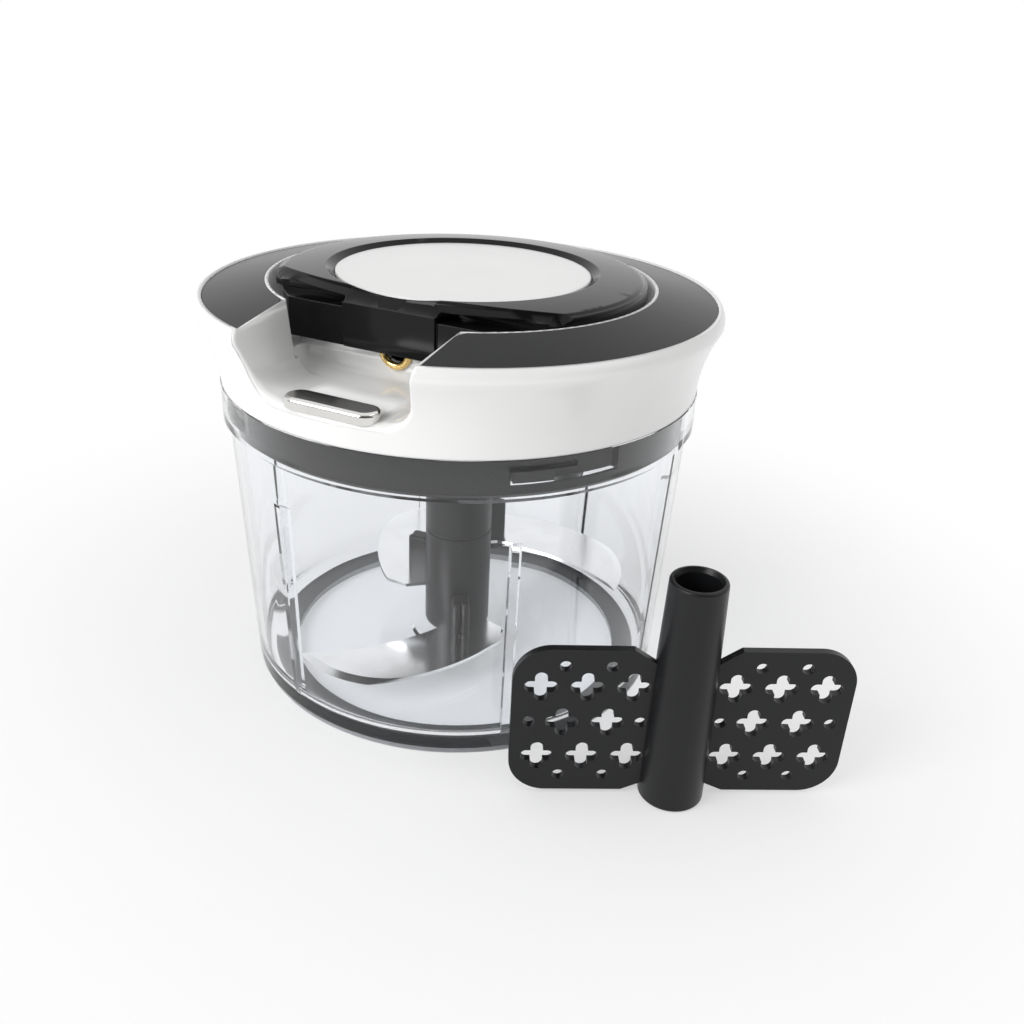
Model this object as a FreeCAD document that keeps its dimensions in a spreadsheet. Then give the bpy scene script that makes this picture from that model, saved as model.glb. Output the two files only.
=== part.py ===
# Pull-cord food chopper with a spare mixing paddle.
#
# Millimetres, +Z up.  The origin is the centre of the bowl's foot on the table.
# The cord is pulled out towards -Y, over the scoop in the lid.
# A bearing is counted from -Y towards +X, counter-clockwise seen from above.

import FreeCAD, Part
import math
import os
import operator
import Sketcher

V = FreeCAD.Vector
UP = V(0, 0, 1)
SAME_HEIGHT = 0.02

doc = FreeCAD.newDocument("pull_cord_chopper")
sheet = doc.addObject("Spreadsheet::Sheet", "sizes")
nodes = []


# Named sizes that carry their own formula

OPERATIONS = {"+": operator.add, "-": operator.sub, "*": operator.mul, "/": operator.truediv}


class Size:
    """A number with the spreadsheet formula that gives it."""

    def __init__(self, value, text):
        self.value = value
        self.text = text

    def __add__(self, other):
        return combine(self, "+", other)

    def __radd__(self, other):
        return combine(other, "+", self)

    def __sub__(self, other):
        return combine(self, "-", other)

    def __rsub__(self, other):
        return combine(other, "-", self)

    def __mul__(self, other):
        return combine(self, "*", other)

    def __rmul__(self, other):
        return combine(other, "*", self)

    def __truediv__(self, other):
        return combine(self, "/", other)

    def __rtruediv__(self, other):
        return combine(other, "/", self)

    def __neg__(self):
        return combine(0, "-", self)

    def __float__(self):
        return float(self.value)

    def __int__(self):
        return int(round(self.value))


def as_size(number):
    if isinstance(number, Size):
        return number
    return Size(float(number), repr(float(number)))


def combine(left, sign, right):
    left, right = as_size(left), as_size(right)
    value = OPERATIONS[sign](left.value, right.value)
    return Size(value, "(%s %s %s)" % (left.text, sign, right.text))


def size(name, number):
    """Writes one driving dimension to the sheet and returns it."""
    row = size.row
    size.row += 1
    sheet.set("A%d" % row, name)
    sheet.set("B%d" % row, str(number))
    sheet.setAlias("B%d" % row, name)
    doc.recompute()
    return Size(float(sheet.get(name)), "sizes." + name)


size.row = 1


# Bowl
rim_top = size("rim_top", 112.5)
rim_radius = size("rim_radius", 82.6)
rim_band = size("rim_band", 12.0)
rim_wall = size("rim_wall", 4.2)
rim_step = size("rim_step", 2.0)
bowl_foot_radius = size("bowl_foot_radius", 76.6)
bowl_foot_corner = size("bowl_foot_corner", 5.0)
bowl_wall = size("bowl_wall", 2.4)
bowl_lift = size("bowl_lift", 1.0)
floor_under = size("floor_under", 3.2)
centre_foot = size("centre_foot", 9.0)
floor_thick = size("floor_thick", 2.4)
floor_corner = size("floor_corner", 9.0)
rib_count = size("rib_count", 6)
rib_width = size("rib_width", 3.0)
rib_proud = size("rib_proud", 2.6)
rib_top = size("rib_top", 84.0)
rib_bearing = size("rib_bearing", 41.6)
boss_radius = size("boss_radius", 7.0)
boss_top = size("boss_top", 8.0)
boss_foot_radius = size("boss_foot_radius", 18.0)
boss_foot_top = size("boss_foot_top", 6.6)
ring_inner = size("ring_inner", 62.5)
ring_outer = size("ring_outer", 71.5)
ring_gap = size("ring_gap", 0.2)

# Bayonet between bowl and lid
lug_count = size("lug_count", 4)
lug_bearing = size("lug_bearing", 39.3)
lug_angle = size("lug_angle", 9.0)
lug_under = size("lug_under", 104.8)
lug_thick = size("lug_thick", 3.4)
lug_radius = size("lug_radius", 80.9)
lug_play = size("lug_play", 0.3)
lug_end_play = size("lug_end_play", 0.5)
unlock_angle = size("unlock_angle", 15.0)

# Spindle
pin_radius = size("pin_radius", 3.0)
pin_under = size("pin_under", 4.6)
pin_top = size("pin_top", 30.0)
running_gap = size("running_gap", 0.05)

# Lid housing
lid_gap = size("lid_gap", 0.1)
skirt_radius = size("skirt_radius", 82.3)
flare_radius = size("flare_radius", 88.7)
flare_top = size("flare_top", 137.0)
edge_in = size("edge_in", 1.4)
edge_radius = flare_radius - edge_in
edge_top = size("edge_top", 141.3)
flare_hollow = size("flare_hollow", 52.0)
lid_wall = size("lid_wall", 2.6)
tower_radius = size("tower_radius", 56.0)
tower_top = size("tower_top", 137.5)
tower_roof = size("tower_roof", 2.3)
tower_wall = size("tower_wall", 2.6)
moat_floor = size("moat_floor", 127.0)
recess_radius = size("recess_radius", 64.9)
front_wall = size("front_wall", 43.0)
post_radius = size("post_radius", 4.0)
post_place = size("post_place", 62.0)
screw_radius = size("screw_radius", 1.5)

# Scoop in front of the cord eyelet
scoop_width = size("scoop_width", 59.4)
scoop_corner = size("scoop_corner", 9.0)
scoop_floor = size("scoop_floor", 121.6)
scoop_narrow = size("scoop_narrow", 3.2)

# Top plate
plate_in = size("plate_in", 2.7)
plate_outer = flare_radius - plate_in
plate_inner = size("plate_inner", 66.1)
plate_outer_top = size("plate_outer_top", 140.9)
plate_inner_top = size("plate_inner_top", 144.8)
plate_thick = size("plate_thick", 2.0)
plate_corner = size("plate_corner", 4.0)

# Eyelet and wear pad
eyelet_top = size("eyelet_top", 128.7)
eyelet_radius = size("eyelet_radius", 6.0)
eyelet_barrel = size("eyelet_barrel", 3.8)
barrel_tail = size("barrel_tail", 1.0)
eyelet_bore = size("eyelet_bore", 2.2)
eyelet_proud = size("eyelet_proud", 1.5)
pad_length = size("pad_length", 32.0)
pad_width = size("pad_width", 9.6)
pad_place = size("pad_place", 77.5)
pad_top = size("pad_top", 124.2)
pad_sunk = size("pad_sunk", 0.8)
slot_edge = size("slot_edge", 1.0)
plate_play = size("plate_play", 0.1)
seal_height = size("seal_height", 1.6)

# Gear cover in the bowl's mouth
cover_radius = size("cover_radius", 78.0)
cover_under = size("cover_under", 98.8)
cover_thick = size("cover_thick", 2.4)
cover_wall = size("cover_wall", 2.4)
cover_spigot = size("cover_spigot", 2.4)
hub_radius = size("hub_radius", 11.0)

# Drive, reel and spring
axle_radius = size("axle_radius", 2.5)
axle_under = size("axle_under", 109.0)
hub_under = size("hub_under", 97.9)
hub_disc = size("hub_disc", 2.0)
hub_disc_under = size("hub_disc_under", 113.0)
ratchet_radius = size("ratchet_radius", 25.0)
ratchet_wall = size("ratchet_wall", 2.2)
ratchet_teeth = size("ratchet_teeth", 16)
ratchet_depth = size("ratchet_depth", 2.4)
ratchet_height = size("ratchet_height", 5.2)
hex_across = size("hex_across", 13.0)
hex_play = size("hex_play", 0.2)
hex_top = size("hex_top", 108.0)
reel_under = size("reel_under", 120.4)
reel_height = size("reel_height", 14.2)
reel_core = size("reel_core", 18.8)
reel_flange = size("reel_flange", 26.0)
reel_boss = size("reel_boss", 6.0)
flange_thick = size("flange_thick", 1.4)
drum_wall = size("drum_wall", 1.8)
reel_floor = size("reel_floor", 2.0)
cord_radius = size("cord_radius", 1.1)
cord_turns = size("cord_turns", 3.25)
cord_step = size("cord_step", 2.65)
cord_play = size("cord_play", 0.2)
lead_gap = size("lead_gap", 0.25)
cord_clear = size("cord_clear", 0.1)
cord_bend = size("cord_bend", 2.3)
spring_turns = size("spring_turns", 6)
spring_start = size("spring_start", 6.4)
spring_thick = size("spring_thick", 0.5)
spring_step = size("spring_step", 1.5)
spring_height = size("spring_height", 8.0)
pawl_place = size("pawl_place", 18.0)
pawl_behind = size("pawl_behind", 33.0)
pawl_head = size("pawl_head", 2.2)
pawl_pin = size("pawl_pin", 1.2)
pawl_tip = size("pawl_tip", 22.2)
pawl_tip_width = size("pawl_tip_width", 1.5)
pawl_lag = size("pawl_lag", 1.8)

# Blade column
column_radius = size("column_radius", 12.5)
column_under = size("column_under", 9.0)
column_seam = size("column_seam", 50.0)
column_top = size("column_top", 97.5)
column_edge = size("column_edge", 0.5)
bush_radius = size("bush_radius", 5.0)
bush_height = size("bush_height", 17.0)
spigot_radius = size("spigot_radius", 8.0)
spigot_length = size("spigot_length", 7.0)
blade_lowest = size("blade_lowest", 12.0)
blade_rise = size("blade_rise", 15.0)
blade_turn = size("blade_turn", 120.0)
blade_thick = size("blade_thick", 1.2)
blade_reach = size("blade_reach", 58.5)
blade_root_out = size("blade_root_out", 24.8)
blade_root_back = size("blade_root_back", 11.7)
blade_outer_arc = size("blade_outer_arc", 72.0)
blade_tip_arc = size("blade_tip_arc", 37.0)
blade_inner_arc = size("blade_inner_arc", 78.0)
blade_tip_x = size("blade_tip_x", 34.5)
blade_tip_y = size("blade_tip_y", 54.9)
blade_neck = size("blade_neck", 15.0)
bevel_width = size("bevel_width", 3.0)
bevel_depth = size("bevel_depth", 0.9)
clamp_reach = size("clamp_reach", 21.0)
clamp_width = size("clamp_width", 12.0)
clamp_thick = size("clamp_thick", 2.6)
clamp_bearing = size("clamp_bearing", 33.0)
fin_width = size("fin_width", 6.6)
fin_reach = size("fin_reach", 19.0)
fin_height = size("fin_height", 14.0)
rivet_radius = size("rivet_radius", 1.2)
rivet_place = size("rivet_place", 16.2)
rivet_gap = size("rivet_gap", 3.2)

# Handle
handle_rim = size("handle_rim", 64.3)
handle_edge = size("handle_edge", 60.5)
handle_top = size("handle_top", 147.2)
crown_top = size("crown_top", 148.6)
crown_radius = size("crown_radius", 44.0)
crown_dome = size("crown_dome", 260.0)
disc_radius = size("disc_radius", 41.8)
disc_top = size("disc_top", 147.6)
disc_thick = size("disc_thick", 2.0)
handle_skirt = size("handle_skirt", 60.2)
handle_wall = size("handle_wall", 2.6)
handle_roof = size("handle_roof", 2.6)
rim_under = size("rim_under", 142.4)
skirt_under = size("skirt_under", 128.5)
dock_gap = size("dock_gap", 0.1)
face_place = size("face_place", 47.0)
facet_place = size("facet_place", 48.0)
facet_width = size("facet_width", 33.0)
facet_under = size("facet_under", 133.0)
face_play = size("face_play", 0.7)
shelf_thick = size("shelf_thick", 2.0)
pocket_top = size("pocket_top", 145.4)
pocket_back = size("pocket_back", 38.0)
front_arc = size("front_arc", 107.0)
front_arc_place = size("front_arc_place", 44.5)
front_slope = size("front_slope", 3.5)
front_slope_drop = size("front_slope_drop", 3.0)
base_thick = size("base_thick", 2.2)
handle_screw_place = size("handle_screw_place", 34.0)
ferrule_radius = size("ferrule_radius", 1.9)
ferrule_height = size("ferrule_height", 4.4)

# Mixing paddle standing beside the bowl
paddle_x = size("paddle_x", 105.1)
paddle_y = size("paddle_y", -45.2)
paddle_turn = size("paddle_turn", 28.5)
paddle_height = size("paddle_height", 80.0)
paddle_foot_radius = size("paddle_foot_radius", 10.6)
paddle_neck_radius = size("paddle_neck_radius", 8.9)
paddle_bore = size("paddle_bore", 6.8)
paddle_bore_depth = size("paddle_bore_depth", 46.0)
paddle_reach = size("paddle_reach", 53.5)
paddle_low = size("paddle_low", 1.5)
paddle_plate = size("paddle_plate", 54.0)
paddle_thick = size("paddle_thick", 2.6)
paddle_corner = size("paddle_corner", 12.0)
paddle_neck = size("paddle_neck", 6.5)
hole_step = size("hole_step", 14.35)
row_step = size("row_step", 13.35)
cross_span = size("cross_span", 11.0)
cross_arm = size("cross_arm", 4.0)
cross_first = size("cross_first", 15.9)
small_hole = size("small_hole", 1.9)
small_offset = size("small_offset", 10.4)
small_rise = size("small_rise", 7.6)


# Ways of building

def bind(thing, name, amount):
    """Ties one property of an object to the sheet."""
    amount = as_size(amount)
    thing.setExpression(name, amount.text)


def finish(thing, label):
    """Gives a sub-part its own label and puts it on the list of nodes."""
    thing.Label = label
    nodes.append(thing)
    return thing


def plane_of(body, role):
    for feature in body.Origin.OriginFeatures:
        if feature.Role == role:
            return feature
    raise ValueError(role)


def arc_centre(start, end, radius):
    """Centre of the short arc from start to end; it is on the left where radius is positive."""
    chord = end - start
    half = chord.Length / 2
    left = V(-chord.y, chord.x, 0).normalize()
    rise = math.sqrt(max(radius * radius - half * half, 0))
    side = 1 if radius > 0 else -1
    return (start + end) / 2 + left * rise * side


def tie_point(sketch, edge, end, spot):
    """Fixes one end of an edge at a named place in its sketch."""
    for axis, amount, direction in ((-2, spot[0], "DistanceX"), (-1, spot[1], "DistanceY")):
        if isinstance(amount, Size):
            index = sketch.addConstraint(
                Sketcher.Constraint(direction, -1, 1, edge, end, amount.value))
            sketch.setExpression("Constraints[%d]" % index, amount.text)
        elif amount == 0:
            sketch.addConstraint(Sketcher.Constraint("PointOnObject", edge, end, axis))
        else:
            sketch.addConstraint(Sketcher.Constraint(direction, -1, 1, edge, end, amount))


def draw(sketch, points):
    """Adds a closed outline.  A point's third value is the radius of the arc that leaves it."""
    spots = [V(float(point[0]), float(point[1]), 0) for point in points]
    first = sketch.GeometryCount
    count = len(points)
    starts = []
    for index, point in enumerate(points):
        start, end = spots[index], spots[(index + 1) % count]
        if len(point) == 2:
            sketch.addGeometry(Part.LineSegment(start, end), False)
            starts.append((1, 2))
            continue
        radius = float(point[2])
        centre = arc_centre(start, end, radius)
        lead, trail = (start, end) if radius > 0 else (end, start)
        angles = [math.atan2(spot.y - centre.y, spot.x - centre.x) for spot in (lead, trail)]
        if angles[1] < angles[0]:
            angles[1] += 2 * math.pi
        circle = Part.Circle(centre, UP, abs(radius))
        sketch.addGeometry(Part.ArcOfCircle(circle, angles[0], angles[1]), False)
        starts.append((1, 2) if radius > 0 else (2, 1))
    for index, point in enumerate(points):
        after = (index + 1) % count
        sketch.addConstraint(Sketcher.Constraint(
            "Coincident", first + index, starts[index][1], first + after, starts[after][0]))
        tie_point(sketch, first + index, starts[index][0], point)
        if len(point) == 3:
            radius = as_size(point[2])
            index = sketch.addConstraint(
                Sketcher.Constraint("Radius", first + index, abs(radius.value)))
            text = radius.text if radius.value > 0 else "-(%s)" % radius.text
            sketch.setExpression("Constraints[%d]" % index, text)


def sketch_on(body, role, name):
    sketch = body.newObject("Sketcher::SketchObject", name)
    sketch.AttachmentSupport = [(plane_of(body, role), "")]
    sketch.MapMode = "FlatFace"
    return sketch


def new_body(label):
    return doc.addObject("PartDesign::Body", label)


def spin(body, points, groove=False):
    """Turns a half profile, drawn as radius and height, about the upright axis."""
    kind = "Groove" if groove else "Revolution"
    sketch = sketch_on(body, "XZ_Plane", body.Label + "_" + kind.lower() + "_profile")
    draw(sketch, points)
    feature = body.newObject("PartDesign::" + kind, body.Label + "_" + kind.lower())
    feature.Profile = sketch
    feature.ReferenceAxis = (sketch, ["V_Axis"])
    feature.Angle = 360
    sketch.Visibility = False
    return feature


def pad(body, points, under, height, role="XY_Plane", pocket=False, middle=False):
    """Raises a closed outline from a plane, or cuts it away."""
    kind = "Pocket" if pocket else "Pad"
    name = "%s_%s_%d" % (body.Label, kind.lower(), len(body.Group))
    sketch = sketch_on(body, role, name + "_outline")
    draw(sketch, points)
    bind(sketch, "AttachmentOffset.Base.z", under)
    feature = body.newObject("PartDesign::" + kind, name)
    feature.Profile = sketch
    bind(feature, "Length", height)
    if middle:
        feature.Midplane = True
    if pocket:
        feature.Reversed = True
    return feature


def ring_pattern(body, feature, count):
    """Repeats a feature evenly round the upright axis."""
    pattern = body.newObject("PartDesign::PolarPattern", feature.Name + "_pattern")
    pattern.Originals = [feature]
    pattern.Axis = (plane_of(body, "Z_Axis"), [""])
    pattern.Angle = 360
    bind(pattern, "Occurrences", count)
    body.Tip = pattern
    return pattern


def cylinder(label, radius, under, height, place=(0, 0), angle=None, start=None):
    """An upright round bar, or a wedge of one that starts at a bearing."""
    bar = doc.addObject("Part::Cylinder", label)
    bind(bar, "Radius", radius)
    bind(bar, "Height", height)
    bind(bar, "Placement.Base.x", place[0])
    bind(bar, "Placement.Base.y", place[1])
    bind(bar, "Placement.Base.z", under)
    if angle is not None:
        bind(bar, "Angle", angle)
        bind(bar, "Placement.Rotation.Angle", start - 90)
        bar.Placement.Rotation.Axis = UP
    return bar


def block(label, low, high):
    """A box between two corners."""
    box = doc.addObject("Part::Box", label)
    for side, property_name, start, end in zip("xyz", ("Length", "Width", "Height"), low, high):
        bind(box, property_name, as_size(end) - start)
        bind(box, "Placement.Base." + side, start)
    return box


def fuse(label, shapes):
    joined = doc.addObject("Part::MultiFuse", label)
    joined.Shapes = shapes
    return joined


def cut(label, base, tool):
    result = doc.addObject("Part::Cut", label)
    result.Base = base
    result.Tool = tool
    return result


def common(label, base, tool):
    result = doc.addObject("Part::Common", label)
    result.Base = base
    result.Tool = tool
    return result


def solid(label, shape):
    """A shape worked out in code from the sizes in the sheet."""
    thing = doc.addObject("Part::Feature", label)
    thing.Shape = shape
    thing.Placement = FreeCAD.Placement()
    return thing


def root(amount):
    return Size(math.sqrt(amount.value), "sqrt(%s)" % amount.text)


def at_bearing(radius, bearing, height=0.0):
    angle = math.radians(float(bearing))
    return V(float(radius) * math.sin(angle), -float(radius) * math.cos(angle), float(height))


def edges_at(feature, height):
    """Names of the edges that lie flat at one height."""
    names = []
    for index, edge in enumerate(feature.Shape.Edges):
        box = edge.BoundBox
        if max(abs(box.ZMin - float(height)), abs(box.ZMax - float(height))) < SAME_HEIGHT:
            names.append("Edge%d" % (index + 1))
    return names


def round_edges(body, feature, height, radius):
    """Rounds the flat edges of a body at one height."""
    doc.recompute()
    fillet = body.newObject("PartDesign::Fillet", feature.Name + "_round")
    fillet.Base = (feature, edges_at(feature, height))
    bind(fillet, "Radius", radius)
    body.Tip = fillet
    return fillet


# Bowl: clear tub with a thick rim band, six ribs inside and a boss for the spindle
band_under = rim_top - rim_band
rim_inner = rim_radius - rim_wall
wall_top = rim_radius - rim_step
wall_inner_top = wall_top - bowl_wall
floor_top = floor_under + floor_thick
foot_inner = ring_outer + ring_gap
corner_height = floor_top + floor_corner
wall_inner_foot = bowl_foot_radius - bowl_wall + 0.5

tub = new_body("bowl_tub")
spin(tub, [
    (0, 0),
    (centre_foot, 0),
    (centre_foot, floor_under),
    (foot_inner, floor_under),
    (foot_inner, bowl_lift),
    (bowl_foot_radius - bowl_foot_corner + 0.6, bowl_lift, bowl_foot_corner),
    (bowl_foot_radius, bowl_lift + bowl_foot_corner),
    (wall_top, band_under - rim_step),
    (rim_radius, band_under),
    (rim_radius, rim_top),
    (rim_inner, rim_top),
    (rim_inner, band_under - rim_step),
    (wall_inner_foot, corner_height, -floor_corner),
    (wall_inner_foot - floor_corner, floor_top),
    (boss_foot_radius, floor_top),
    (boss_foot_radius - 1, boss_foot_top),
    (boss_radius, boss_foot_top),
    (boss_radius, boss_top),
    (pin_radius, boss_top),
    (pin_radius, pin_under),
    (0, pin_under)])
rib = sketch_on(tub, "XZ_Plane", "rib_side")
draw(rib, [
    (wall_inner_foot - rib_proud, floor_top - 0.5),
    (wall_inner_foot + 1.2, floor_top - 0.5),
    (wall_inner_foot + 1.2, corner_height),
    (wall_inner_top + 0.2, rib_top),
    (wall_inner_top - rib_proud * 1.6, rib_top - rib_proud)])
rib_pad = tub.newObject("PartDesign::Pad", "rib_pad")
rib_pad.Profile = rib
rib_pad.Midplane = True
bind(rib_pad, "Length", rib_width)
bind(rib, "AttachmentOffset.Rotation.Angle", rib_bearing - 30)
rib.AttachmentOffset.Rotation.Axis = V(0, 1, 0)
ring_pattern(tub, rib_pad, rib_count)

channels = []
for index in range(int(lug_count)):
    start = lug_bearing - lug_end_play + 360 / lug_count * index
    sweep = lug_angle + unlock_angle + lug_end_play * 2
    reach = lug_radius + lug_play
    groove_under = lug_under - lug_play
    channels.append(cylinder(
        "channel_%d" % index, reach, groove_under, lug_thick + lug_play * 2, (0, 0), sweep, start))
    mouth_start = start + unlock_angle - lug_end_play
    channels.append(cylinder(
        "mouth_%d" % index, reach, groove_under, rim_top - groove_under + 1, (0, 0),
        lug_angle + lug_end_play * 3, mouth_start))
finish(cut("bowl_cut", tub, fuse("channels", channels)), "bowl")

base_ring = new_body("base_ring")
spin(base_ring, [
    (ring_inner + 1, 0),
    (ring_outer - 1, 0),
    (ring_outer, 1.2),
    (ring_outer, floor_under),
    (ring_inner, floor_under),
    (ring_inner, 1.2)])
finish(base_ring, "base_ring")

spindle = new_body("spindle_pin")
spin(spindle, [
    (0, pin_under),
    (pin_radius, pin_under),
    (pin_radius, pin_top - 1),
    (pin_radius - 1, pin_top),
    (0, pin_top)])
finish(spindle, "spindle_pin")


# Gear cover: grey plug in the bowl's mouth, with four lugs and a hole for the drive hub
lid_under = rim_top + lid_gap
cover_floor = cover_under + cover_thick
plug = new_body("cover_plug")
spin(plug, [
    (hub_radius + running_gap, cover_under),
    (cover_radius - 1.5, cover_under),
    (cover_radius, cover_under + 1.5),
    (cover_radius, rim_top),
    (cover_radius - 0.6, rim_top),
    (cover_radius - 0.6, lid_under + cover_spigot),
    (cover_radius - cover_wall, lid_under + cover_spigot),
    (cover_radius - cover_wall, cover_floor + 2, -2),
    (cover_radius - cover_wall - 2, cover_floor),
    (hub_radius + 3, cover_floor),
    (hub_radius + 3, cover_floor + 4),
    (hub_radius + running_gap, cover_floor + 4)])
lugs = []
for index in range(int(lug_count)):
    lugs.append(cylinder(
        "lug_%d" % index, lug_radius, lug_under, lug_thick, (0, 0), lug_angle,
        lug_bearing + 360 / lug_count * index))
lug_core = cylinder("lug_core", cover_radius - 1, lug_under - 1, lug_thick + 2)
lug_ring = cut("lug_ring", fuse("lugs", lugs), lug_core)
cover_body = fuse("cover_body", [plug, lug_ring])
screw_holes = []
for index in range(4):
    spot = at_bearing(1.0, 45 + 90 * index)
    place = (post_place * spot.x, post_place * spot.y)
    screw_holes.append(cylinder(
        "cover_hole_%d" % index, screw_radius + 0.2, cover_under - 1, cover_thick + 2, place))
    screw_holes.append(cylinder(
        "cover_sink_%d" % index, screw_radius * 2 + 0.2, cover_under - 1, 2.2, place))
finish(cut("cover_cut", cover_body, fuse("cover_holes", screw_holes)), "gear_cover")

screws = []
for index in range(4):
    spot = at_bearing(1.0, 45 + 90 * index)
    place = (post_place * spot.x, post_place * spot.y)
    screws.append(cylinder("screw_head_%d" % index, screw_radius * 2, cover_under + 0.1, 1.1, place))
    screws.append(cylinder("screw_shank_%d" % index, screw_radius, cover_under + 1, 11, place))
finish(fuse("screws", screws), "cover_screws")


# Lid housing: white flared shell with a tower for the reel, a moat for the handle and a scoop
roof_under = tower_top - tower_roof
moat_under = moat_floor - lid_wall
hull = new_body("housing_hull")
spin(hull, [
    (0, lid_under),
    (skirt_radius, lid_under, -flare_hollow),
    (flare_radius, flare_top, 5.5),
    (edge_radius, edge_top),
    (plate_outer + 0.2, edge_top),
    (plate_outer + 0.2, plate_outer_top - plate_thick),
    (plate_inner - 0.1, plate_inner_top - plate_thick),
    (plate_inner - 0.1, plate_inner_top),
    (recess_radius, plate_inner_top),
    (recess_radius, moat_floor),
    (tower_radius, moat_floor),
    (tower_radius, tower_top - 2, 2),
    (tower_radius - 2, tower_top),
    (0, tower_top)])

hollow = new_body("housing_hollow")
spin(hollow, [
    (0, lid_under - 1),
    (cover_radius - 0.5, lid_under - 1),
    (cover_radius - 0.5, lid_under + cover_spigot + 1),
    (flare_radius - lid_wall * 2, flare_top),
    (recess_radius + lid_wall, plate_outer_top - plate_thick - lid_wall),
    (recess_radius + lid_wall, moat_under),
    (tower_radius - tower_wall, moat_under),
    (tower_radius - tower_wall, roof_under),
    (0, roof_under)])
half_scoop = scoop_width / 2
scoop_block = block(
    "scoop_block",
    (-half_scoop - lid_wall, -(flare_radius + 5), scoop_floor - lid_wall),
    (half_scoop + lid_wall, tower_wall - front_wall, tower_top + 5))
bay_block = block(
    "bay_block",
    (-(tower_radius - 8), -(flare_radius + 5), moat_under),
    (tower_radius - 8, tower_wall - front_wall, tower_top + 5))
shell_cutter = cut("shell_cutter", hollow, fuse("front_blocks", [scoop_block, bay_block]))

scoop = new_body("scoop_cut")
scoop_sketch = sketch_on(scoop, "XZ_Plane", "scoop_outline")
draw(scoop_sketch, [
    (half_scoop, edge_top + 20),
    (-half_scoop, edge_top + 20),
    (-half_scoop, plate_outer_top),
    (-(half_scoop - scoop_narrow), scoop_floor + scoop_corner, scoop_corner),
    (-(half_scoop - scoop_narrow - scoop_corner), scoop_floor),
    (half_scoop - scoop_narrow - scoop_corner, scoop_floor, scoop_corner),
    (half_scoop - scoop_narrow, scoop_floor + scoop_corner),
    (half_scoop, plate_outer_top)])
bind(scoop_sketch, "AttachmentOffset.Base.z", front_wall)
scoop_pad = scoop.newObject("PartDesign::Pad", "scoop_pad")
scoop_pad.Profile = scoop_sketch
bind(scoop_pad, "Length", flare_radius + 5 - front_wall)

bay_ring = cylinder("bay_ring", recess_radius, moat_floor, tower_top + 10 - moat_floor)
bay_box = block(
    "bay_box", (-recess_radius, -(flare_radius + 5), moat_floor),
    (recess_radius, -front_wall, tower_top + 10))
front_bay = common("front_bay", bay_ring, bay_box)

posts = []
pilots = []
for index in range(4):
    spot = at_bearing(1.0, 45 + 90 * index)
    place = (post_place * spot.x, post_place * spot.y)
    posts.append(cylinder("post_%d" % index, post_radius, cover_floor, moat_floor - 1 - cover_floor, place))
    pilots.append(cylinder("pilot_%d" % index, screw_radius, cover_floor - 1, 13, place))
posts.append(cylinder(
    "axle_boss", axle_radius + 3, reel_under + reel_height + running_gap,
    tower_roof + 0.5))
pilots.append(cylinder(
    "axle_socket", axle_radius, reel_under, tower_top - 1 - reel_under))
eyelet_hole = doc.addObject("Part::Cylinder", "eyelet_hole")
bind(eyelet_hole, "Radius", eyelet_barrel)
bind(eyelet_hole, "Height", 12)
bind(eyelet_hole, "Placement.Base.y", -(front_wall - 6))
bind(eyelet_hole, "Placement.Base.z", eyelet_top)
eyelet_hole.Placement.Rotation = FreeCAD.Rotation(V(1, 0, 0), 90)
pad_under = scoop_floor - pad_sunk
pad_end = pad_length / 2 - pad_width / 2
pad_seat = fuse("pad_seat", [
    block("pad_seat_middle", (-pad_end, -(pad_place + pad_width / 2), pad_under),
          (pad_end, pad_width / 2 - pad_place, pad_top)),
    cylinder("pad_seat_left", pad_width / 2, pad_under, 3, (-pad_end, -pad_place)),
    cylinder("pad_seat_right", pad_width / 2, pad_under, 3, (pad_end, -pad_place))])
rim_ring = new_body("slot_rim_ring")
spin(rim_ring, [
    (recess_radius, moat_floor),
    (plate_outer + 0.3, moat_floor),
    (plate_outer + 0.3, plate_outer_top),
    (plate_inner, plate_inner_top),
    (recess_radius, plate_inner_top)])
slot_box = block(
    "slot_box",
    (-(half_scoop + slot_edge - plate_play), -(flare_radius + 5), moat_floor),
    (half_scoop + slot_edge - plate_play, -front_wall, tower_top + 10))
rimmed = fuse("rimmed", [hull, common("slot_rim", rim_ring, slot_box)])
shelled = cut("shelled", rimmed, fuse("inside", [shell_cutter, scoop, front_bay]))
seal_groove = cut(
    "seal_groove",
    cylinder("groove_outer", skirt_radius - 0.6, lid_under - 1, seal_height + 1),
    cylinder("groove_inner", rim_inner + 0.8, lid_under - 2, 5))
posted = fuse("posted", [shelled] + posts)
housing_holes = fuse("housing_holes", pilots + [eyelet_hole, seal_groove, pad_seat])
finish(cut("housing_cut", posted, housing_holes), "lid_housing")


# Lid trim: horseshoe plate, seal, brass eyelet and steel wear pad
slot_half = half_scoop + slot_edge
slot_corner = root(plate_inner * plate_inner - slot_half * slot_half)
plate = new_body("top_plate")
spin(plate, [
    (plate_inner, plate_inner_top - plate_thick + plate_play),
    (plate_outer, plate_outer_top - plate_thick + plate_play),
    (plate_outer, plate_outer_top),
    (plate_inner, plate_inner_top)])
pad(plate, [
    (slot_half, -(plate_outer + 10)),
    (slot_half, -(slot_corner + plate_corner), -(plate_corner * 1.6)),
    (slot_half + plate_corner * 0.8, -(slot_corner - plate_corner * 0.5)),
    (0, -(slot_corner - 15)),
    (-(slot_half + plate_corner * 0.8), -(slot_corner - plate_corner * 0.5), -(plate_corner * 1.6)),
    (-slot_half, -(slot_corner + plate_corner)),
    (-slot_half, -(plate_outer + 10))], plate_outer_top - 5, 20, pocket=True)
finish(plate, "top_plate")

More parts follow.
